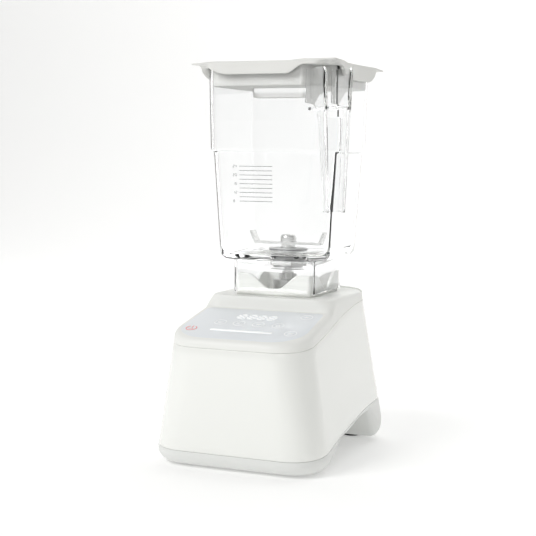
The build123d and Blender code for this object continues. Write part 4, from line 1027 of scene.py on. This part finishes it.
# ------------------------------------------------------------------ handle
HANDLE_TOP, HANDLE_LOW = 0.3765, 0.242
HANDLE_BRIDGE = 0.3365
CHEEK_TOP, CHEEK_LOW = 0.0155, 0.0097
CHEEK_WALL = 0.0026
GRIP_INNER = 0.101


def handle_point(d, t, z):
    """Point of the handle: d out from the axis through the cut corner, t across, z up."""
    root = math.sqrt(2)
    return np.stack(((d + t) / root, jar_sizes().axis_y + (t - d) / root, z + 0 * d), axis=-1)


def cheek_half(z):
    """Outside half spread of the two cheeks, which narrows down the grip."""
    share = (z - HANDLE_LOW) / (HANDLE_TOP - HANDLE_LOW)
    return CHEEK_LOW + share * (CHEEK_TOP - CHEEK_LOW)


def path_through(stops, counts):
    """Points along stops: a straight run, or where a count is negative a quarter bend between them."""
    parts = []
    for (p, q), count in zip(zip(stops[:-1], stops[1:]), counts):
        p, q = np.array(p), np.array(q)
        if count > 0:
            t = np.linspace(0, 1, count, endpoint=False)[:, None]
            parts.append(p * (1 - t) + q * t)
        else:
            a = np.linspace(0, np.pi / 2, -count, endpoint=False)[:, None]
            shape = np.concatenate((np.sin(a), 1 - np.cos(a)), axis=1)
            parts.append(p + (q - p) * shape)
    parts.append(np.array([stops[-1]]))
    return np.concatenate(parts)


def plate(name, inner, outer, near, far, round_off):
    """Plate between two edge paths in the handle's side view, from near to far across it. Its section
    is a rectangle with rounded corners, and both ends close on their middle point."""
    way = outer - inner
    way = way / np.linalg.norm(way, axis=1)[:, None]
    r = round_off
    soft = 0.28 * r
    loop = (
        (0, r, 0, 0), (1, r, 0, 0), (1, soft, 0, soft), (1, 0, 0, r), (1, 0, 1, r), (1, soft, 1, soft),
        (1, r, 1, 0), (0, r, 1, 0), (0, soft, 1, soft), (0, 0, 1, r), (0, 0, 0, r), (0, soft, 0, soft),
    )
    flat = np.stack([(outer - way * dp) if end else (inner + way * dp) for end, dp, _, _ in loop], axis=1)
    turn = np.sign(far - near)
    across = np.stack([(far - turn * dt) if side else (near + turn * dt) for _, _, side, dt in loop], axis=1)
    points = handle_point(flat[..., 0], across, flat[..., 1])
    ends = [points[:1], points[-1:]]
    middles = [np.broadcast_to(e.mean(axis=1, keepdims=True), e.shape) for e in ends]
    points = np.concatenate((middles[0], points, middles[1]), axis=0)
    return grid_mesh(name, points, False, True)


def handle_edges():
    """Outer and inner edges of a cheek in side view, from the jar's wall out and down to the grip's end."""
    start = fifth_wall(HANDLE_TOP) - 0.0002
    low_start = fifth_wall(0.3445) - 0.0002
    counts = (16, -12, 12, 26)
    outer = path_through(
        [
            (start, HANDLE_TOP), (0.1095, HANDLE_TOP), (0.1149, 0.3711),
            (0.1135, HANDLE_BRIDGE), (0.1115, HANDLE_LOW),
        ],
        counts,
    )
    inner = path_through(
        [(low_start, 0.3445), (0.0845, 0.3428), (0.0978, 0.331), (0.0985, 0.318), (GRIP_INNER, HANDLE_LOW)],
        counts,
    )
    return outer, inner


def make_handle():
    """Two cheeks, the web between them on the jar's side, and the floor of the top channel."""
    outer, inner = handle_edges()
    pieces = []
    for side, name in ((-1, "handle_cheek_left"), (1, "handle_cheek_right")):
        z = (outer + inner)[:, 1] / 2
        far = side * cheek_half(z)
        near = side * (cheek_half(z) - CHEEK_WALL)
        pieces.append(plate(name, inner, outer, near, far, 0.0009))
    grip = inner[28:]
    width = cheek_half(grip[:, 1]) - CHEEK_WALL + 0.0002
    web_outer = grip + np.array([[CHEEK_WALL, 0.0]])
    pieces.append(plate("handle_web", grip, web_outer, -width, width, 0.0005))
    d = np.linspace(fifth_wall(0.34) - 0.0002, 0.1128, 14)
    low = np.stack((d, 0.3375 + 0 * d), -1)
    width = cheek_half(low[:, 1]) - CHEEK_WALL + 0.0002
    pieces.append(plate("handle_floor", low, low + np.array([[0.0, 0.003]]), -width, width, 0.0006))
    for piece in pieces:
        dress(piece, "jar", "clear_handle")


def make_jar_marks():
    """Measuring lines on the front wall, all of one length, with small plain numbers at every other line."""
    strips = []
    for n in range(9):
        z = 0.2836 - 0.00427 * n
        strips.append((line_path(-0.0284, z, 0.0064, z), 0.00045, False))
        if n % 2 == 0:
            number = str(24 - 2 * n)
            strips += digit_strips(number, -0.0352, z - 0.0012, 0.0015, 0.0024, 0.0024, 0.0004, 0.0)
    plane, level, faces = joined_ribbons(strips)
    half = np.interp(plane[:, 1], [jar_sizes().bottom, jar_sizes().shoulder], [HALF_BOTTOM, HALF_BELOW])
    y = jar_sizes().axis_y - half - 0.00002 - 0.00018 * level
    piece = fill_mesh("jar_measure_marks", np.stack((plane[:, 0], y, plane[:, 1]), -1), faces)
    piece.data.materials.append(finish("mark_grey"))
    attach(piece, "jar")


# ------------------------------------------------------------------ lid
LID_TIP, LID_SIDE = 0.0755, 0.0705
APRON_FRONT, APRON_SIDE, TIP_UNDER, VISOR_UNDER = 0.3722, 0.3687, 0.3795, 0.3808
LID_CLEAR = 0.0005
VENT_COUNT, VENT_RING, VENT_RADIUS = 6, 0.022, 0.002
HOOD_HALF, HOOD_CORNER, HOOD_AT = (0.029, 0.0055), 0.004, (-0.006, -0.011)
RIB_DEPTH, RIB_PITCH, RIB_REACH = 0.0004, 0.0036, 0.022


def lid_edge():
    """Outer edge of the lid: four arcs that curve in between the corner tips, with rounded tips."""
    s = np.linspace(-1, 1, 90, endpoint=False)
    bow = LID_SIDE + (LID_TIP - LID_SIDE) * np.abs(s) ** 1.9
    along = s * LID_TIP
    sides = [
        np.stack((along, -bow), -1), np.stack((bow, along), -1),
        np.stack((-along, bow), -1), np.stack((-bow, -along), -1),
    ]
    ring = polar_ring(np.concatenate(sides))
    cap = np.hypot(LID_TIP, LID_TIP) - 0.0018
    return np.minimum(ring, cap)


def make_lid():
    """One closed skin: bowl floor, bowl wall, crowned top, flared edge down to the aprons, in to the
    jar's wall, over its rim, and down and under the plug."""
    j = jar_sizes()
    a = turns()
    across = sideways(a)
    facing_front = np.abs(np.sin(a)) > np.abs(np.cos(a))
    apron = np.where(facing_front, APRON_FRONT, APRON_SIDE)
    off_visor = np.abs((a + np.pi / 4 + np.pi) % (2 * np.pi) - np.pi)
    rise = smooth_step((across - 0.56) / 0.36)
    under = apron + (TIP_UNDER - apron) * rise
    visor = 1 - smooth_step((off_visor - 0.24) / 0.22)
    under = under + (VISOR_UNDER - under) * visor
    tip = smooth_step((across - 0.72) / 0.28)
    top = j.lid_top - 0.0013 - 0.0016 * tip * (1 - visor) + 0.0013 * visor
    wing = lid_edge()
    clear = jar_ring(j.rim, -LID_CLEAR)
    plug = jar_ring(j.rim, j.wall + LID_CLEAR)
    bowl = jar_ring(j.rim, j.wall + LID_CLEAR + 0.0035)
    foot = np.minimum(wing - 0.0002, np.maximum(clear + 0.0022, wing - 0.0012 - 0.0085 * tip))
    floor = j.lid_plug + 0.004
    rows = [
        *((bowl * share, floor) for share in np.linspace(0.0, 0.9, 13)), (bowl - 0.003, floor),
        (bowl - 0.0009, floor + 0.0009), (bowl, floor + 0.003), (bowl, top - 0.004),
        (bowl + 0.0002, top - 0.0012), (bowl + 0.0009, top - 0.0003), (bowl + 0.0024, top),
    ]
    for share in (0.35, 0.65, 0.85):
        rows.append((bowl + 0.0024 + (wing - 0.002 - bowl - 0.0024) * share, np.minimum(top, j.lid_top)))
    rows += [(wing - 0.0014, top - 0.0002), (wing - 0.0004, top - 0.0008), (wing, top - 0.0018)]
    edge_top, edge_low = top - 0.0018, under + 0.0012
    for share in (0.12, 0.28, 0.46, 0.64, 0.82, 1.0):
        z = edge_top + (edge_low - edge_top) * share
        rows.append((wing + (foot - wing) * share ** 0.75, z))
    rows += [
        (foot - 0.0004, under + 0.0003), (foot - 0.0012, under), (clear + 0.0008, under),
        (clear, np.minimum(under + 0.0008, j.rim - 0.0002)), (clear, j.rim + 0.0002),
        (clear - 0.0008, j.rim + 0.0006), (plug + 0.0008, j.rim + 0.0006),
        (plug, j.rim - 0.0002), (plug, j.lid_plug + 0.008), (plug, j.lid_plug + 0.0022),
        (plug - 0.0006, j.lid_plug + 0.0006), (plug - 0.0022, j.lid_plug),
        *((plug * share, j.lid_plug) for share in np.linspace(0.9, 0.0, 13)),
    ]
    piece = turned_mesh("lid_cap", rows)
    for n in range(VENT_COUNT):
        turn = 2 * math.pi / VENT_COUNT * n
        x, y = VENT_RING * math.cos(turn), j.axis_y + VENT_RING * math.sin(turn)
        cut(piece, disc_tool(x, y, j.lid_plug - 0.002, floor + 0.002, VENT_RADIUS, 20))
    return dress(piece, "lid", "lid_rubber", "lid")


def make_lid_vent():
    """Small hood under the plug that covers the vents: rounded rings from the plug down to a soft edge,
    closed on their middle point, with upright ribs along its front."""
    j = jar_sizes()
    u, v = HOOD_HALF
    outline_xy = rounded_polygon([(-u, -v), (u, -v), (u, v), (-u, v)], [HOOD_CORNER] * 4, 8, 20)
    middle = np.array([HOOD_AT[0], j.axis_y + HOOD_AT[1]])
    wave = np.cos(2 * np.pi * outline_xy[:, 0] / RIB_PITCH)
    ribs = RIB_DEPTH * wave * (np.abs(outline_xy[:, 0]) < RIB_REACH)
    high = j.lid_plug + 0.001
    rings = (
        (0.0, high), (1.0, high), (1.0, 0.3555), (0.975, 0.3545),
        (0.975, 0.3526), (0.95, 0.3518), (0.8, 0.3514), (0.0, 0.3514),
    )
    points = []
    for scale, z in rings:
        grown = outline_xy * scale
        depth = grown[:, 1] + np.sign(grown[:, 1]) * ribs * (0.9 < scale < 1.0) * (z < 0.3556)
        points.append(np.stack((middle[0] + grown[:, 0], middle[1] + depth, z + 0 * depth), -1))
    points = np.stack(points, axis=1)
    piece = grid_mesh("lid_vent_hood", points)
    return dress(piece, "lid", "frosted_hood")


# ------------------------------------------------------------------ stage
def make_stage():
    """Pale floor that curves up into a backdrop, soft lamps and the camera."""
    t = studio()
    across = np.linspace(-30.0, 30.0, 31)
    turn = np.radians(np.linspace(0, 90, 24))
    floor_y = np.linspace(-30.0, 1.6, 16)
    y = np.concatenate((floor_y, 1.6 + 1.2 * np.sin(turn[1:]), [2.8]))
    z = np.concatenate((0 * floor_y, 1.2 * (1 - np.cos(turn[1:])), [5.0]))
    x, y = np.meshgrid(across, y, indexing="ij")
    z = np.broadcast_to(z[None, :], x.shape)
    floor = grid_mesh("studio_floor", np.stack((x, y, z), -1), False, False)
    paper = finish("studio_paper")
    shader = paper.node_tree.nodes["Principled BSDF"]
    shader.inputs["Emission Color"].default_value = (1.0, 1.0, 0.995, 1.0)
    shader.inputs["Emission Strength"].default_value = t.paper_lift
    floor.data.materials.append(paper)

    world = bpy.data.worlds.new("studio_air")
    world.use_nodes = True
    world.node_tree.nodes["Background"].inputs["Color"].default_value = (1.0, 1.0, 0.99, 1.0)
    world.node_tree.nodes["Background"].inputs["Strength"].default_value = t.sky
    bpy.context.scene.world = world

    lamps = (
        ("key_lamp", (-0.9, -1.5, 1.5), t.key, 1.1),
        ("fill_lamp", (0.75, -1.9, 0.9), t.fill, 0.7),
        ("back_lamp", (0.3, 1.2, 1.7), t.fill * 0.3, 1.2),
        ("wash_lamp", (0.0, 0.9, 2.6), t.wash, 1.8),
    )
    for name, place, power, size in lamps:
        aim = Vector((0.0, 2.8, 0.9)) if name == "wash_lamp" else Vector((0.0, 0.0, 0.16))
        lamp = bpy.data.lights.new(name, "AREA")
        lamp.energy = power
        lamp.size = size
        holder = bpy.data.objects.new(name, lamp)
        holder.location = place
        holder.rotation_euler = (aim - Vector(place)).to_track_quat("-Z", "Y").to_euler()
        bpy.context.collection.objects.link(holder)

    camera = bpy.data.cameras.new("studio_camera")
    camera.lens = t.lens
    camera.sensor_width = 36.0
    camera.clip_start = 0.05
    holder = bpy.data.objects.new("studio_camera", camera)
    look = Vector((-0.00963, 0.0, 0.18183))
    level = math.cos(t.elevation)
    away = Vector((level * math.sin(t.azimuth), -level * math.cos(t.azimuth), math.sin(t.elevation)))
    facing = (-away).to_track_quat("-Z", "Y").to_matrix() @ Matrix.Rotation(t.roll, 3, "Z")
    holder.matrix_world = Matrix.Translation(look + away * t.distance) @ facing.to_4x4()
    bpy.context.collection.objects.link(holder)
    bpy.context.scene.camera = holder
    bpy.context.scene.view_settings.view_transform = "Standard"


# ------------------------------------------------------------------ operators
class BLENDER_OT_finishes(bpy.types.Operator):
    """Make the finishes and give them to the frame's own pieces"""

    bl_idname = "countertop.finishes"
    bl_label = "Finishes"

    def execute(self, context):
        make_grain_group()
        make_brushed_group()
        make_finishes()
        for name, nodes in NODE_FINISH.items():
            for node in nodes:
                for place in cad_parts[node].material_slots:
                    place.material = finish(name)
        return {"FINISHED"}


class BLENDER_OT_stage(bpy.types.Operator):
    """Make the floor, the lamps and the camera"""

    bl_idname = "countertop.stage"
    bl_label = "Stage"

    def execute(self, context):
        make_stage()
        return {"FINISHED"}


class BLENDER_OT_base(bpy.types.Operator):
    """Make the housing, the deck cover, the tray and the jar's socket"""

    bl_idname = "countertop.base"
    bl_label = "Base shells"

    def execute(self, context):
        make_housing()
        make_top_cover()
        make_tray()
        make_socket()
        return {"FINISHED"}


class BLENDER_OT_panel(bpy.types.Operator):
    """Make the touch panel and its signs"""

    bl_idname = "countertop.panel"
    bl_label = "Touch panel"

    def execute(self, context):
        make_panel()
        make_panel_marks()
        return {"FINISHED"}


class BLENDER_OT_jar(bpy.types.Operator):
    """Make the clear jar, its handle and its measuring lines"""

    bl_idname = "countertop.jar"
    bl_label = "Jar and handle"

    def execute(self, context):
        make_jar()
        make_handle()
        make_jar_marks()
        return {"FINISHED"}


class BLENDER_OT_lid(bpy.types.Operator):
    """Make the soft lid and the hood under its plug"""

    bl_idname = "countertop.lid"
    bl_label = "Lid"

    def execute(self, context):
        make_lid()
        make_lid_vent()
        return {"FINISHED"}


STEPS = (
    BLENDER_OT_finishes, BLENDER_OT_stage, BLENDER_OT_base, BLENDER_OT_panel, BLENDER_OT_jar, BLENDER_OT_lid,
)


class BLENDER_PT_countertop(bpy.types.Panel):
    """Lists the steps that build the blender, in order"""

    bl_idname = "BLENDER_PT_countertop"
    bl_label = "Countertop blender"
    bl_space_type = "VIEW_3D"
    bl_region_type = "UI"
    bl_category = "Countertop blender"

    def draw(self, context):
        for settings in (base_sizes(), jar_sizes(), colours(), studio()):
            box = self.layout.box()
            for name in settings.__annotations__:
                box.prop(settings, name)
        for step in STEPS:
            self.layout.operator(step.bl_idname)


PROPERTY_GROUPS = (
    (BlenderBaseSizes, "blender_base_sizes"),
    (BlenderJarSizes, "blender_jar_sizes"),
    (BlenderColours, "blender_colours"),
    (BlenderStudio, "blender_studio"),
)


def register():
    for group, place in PROPERTY_GROUPS:
        bpy.utils.register_class(group)
        setattr(bpy.types.Scene, place, bpy.props.PointerProperty(type=group))
    for step in STEPS:
        bpy.utils.register_class(step)
    bpy.utils.register_class(BLENDER_PT_countertop)


def unregister():
    bpy.utils.unregister_class(BLENDER_PT_countertop)
    for step in reversed(STEPS):
        bpy.utils.unregister_class(step)
    for group, place in reversed(PROPERTY_GROUPS):
        delattr(bpy.types.Scene, place)
        bpy.utils.unregister_class(group)


def main():
    register()
    bpy.ops.countertop.finishes()
    bpy.ops.countertop.stage()
    bpy.ops.countertop.base()
    bpy.ops.countertop.panel()
    bpy.ops.countertop.jar()
    bpy.ops.countertop.lid()


if __name__ == "__main__":
    main()
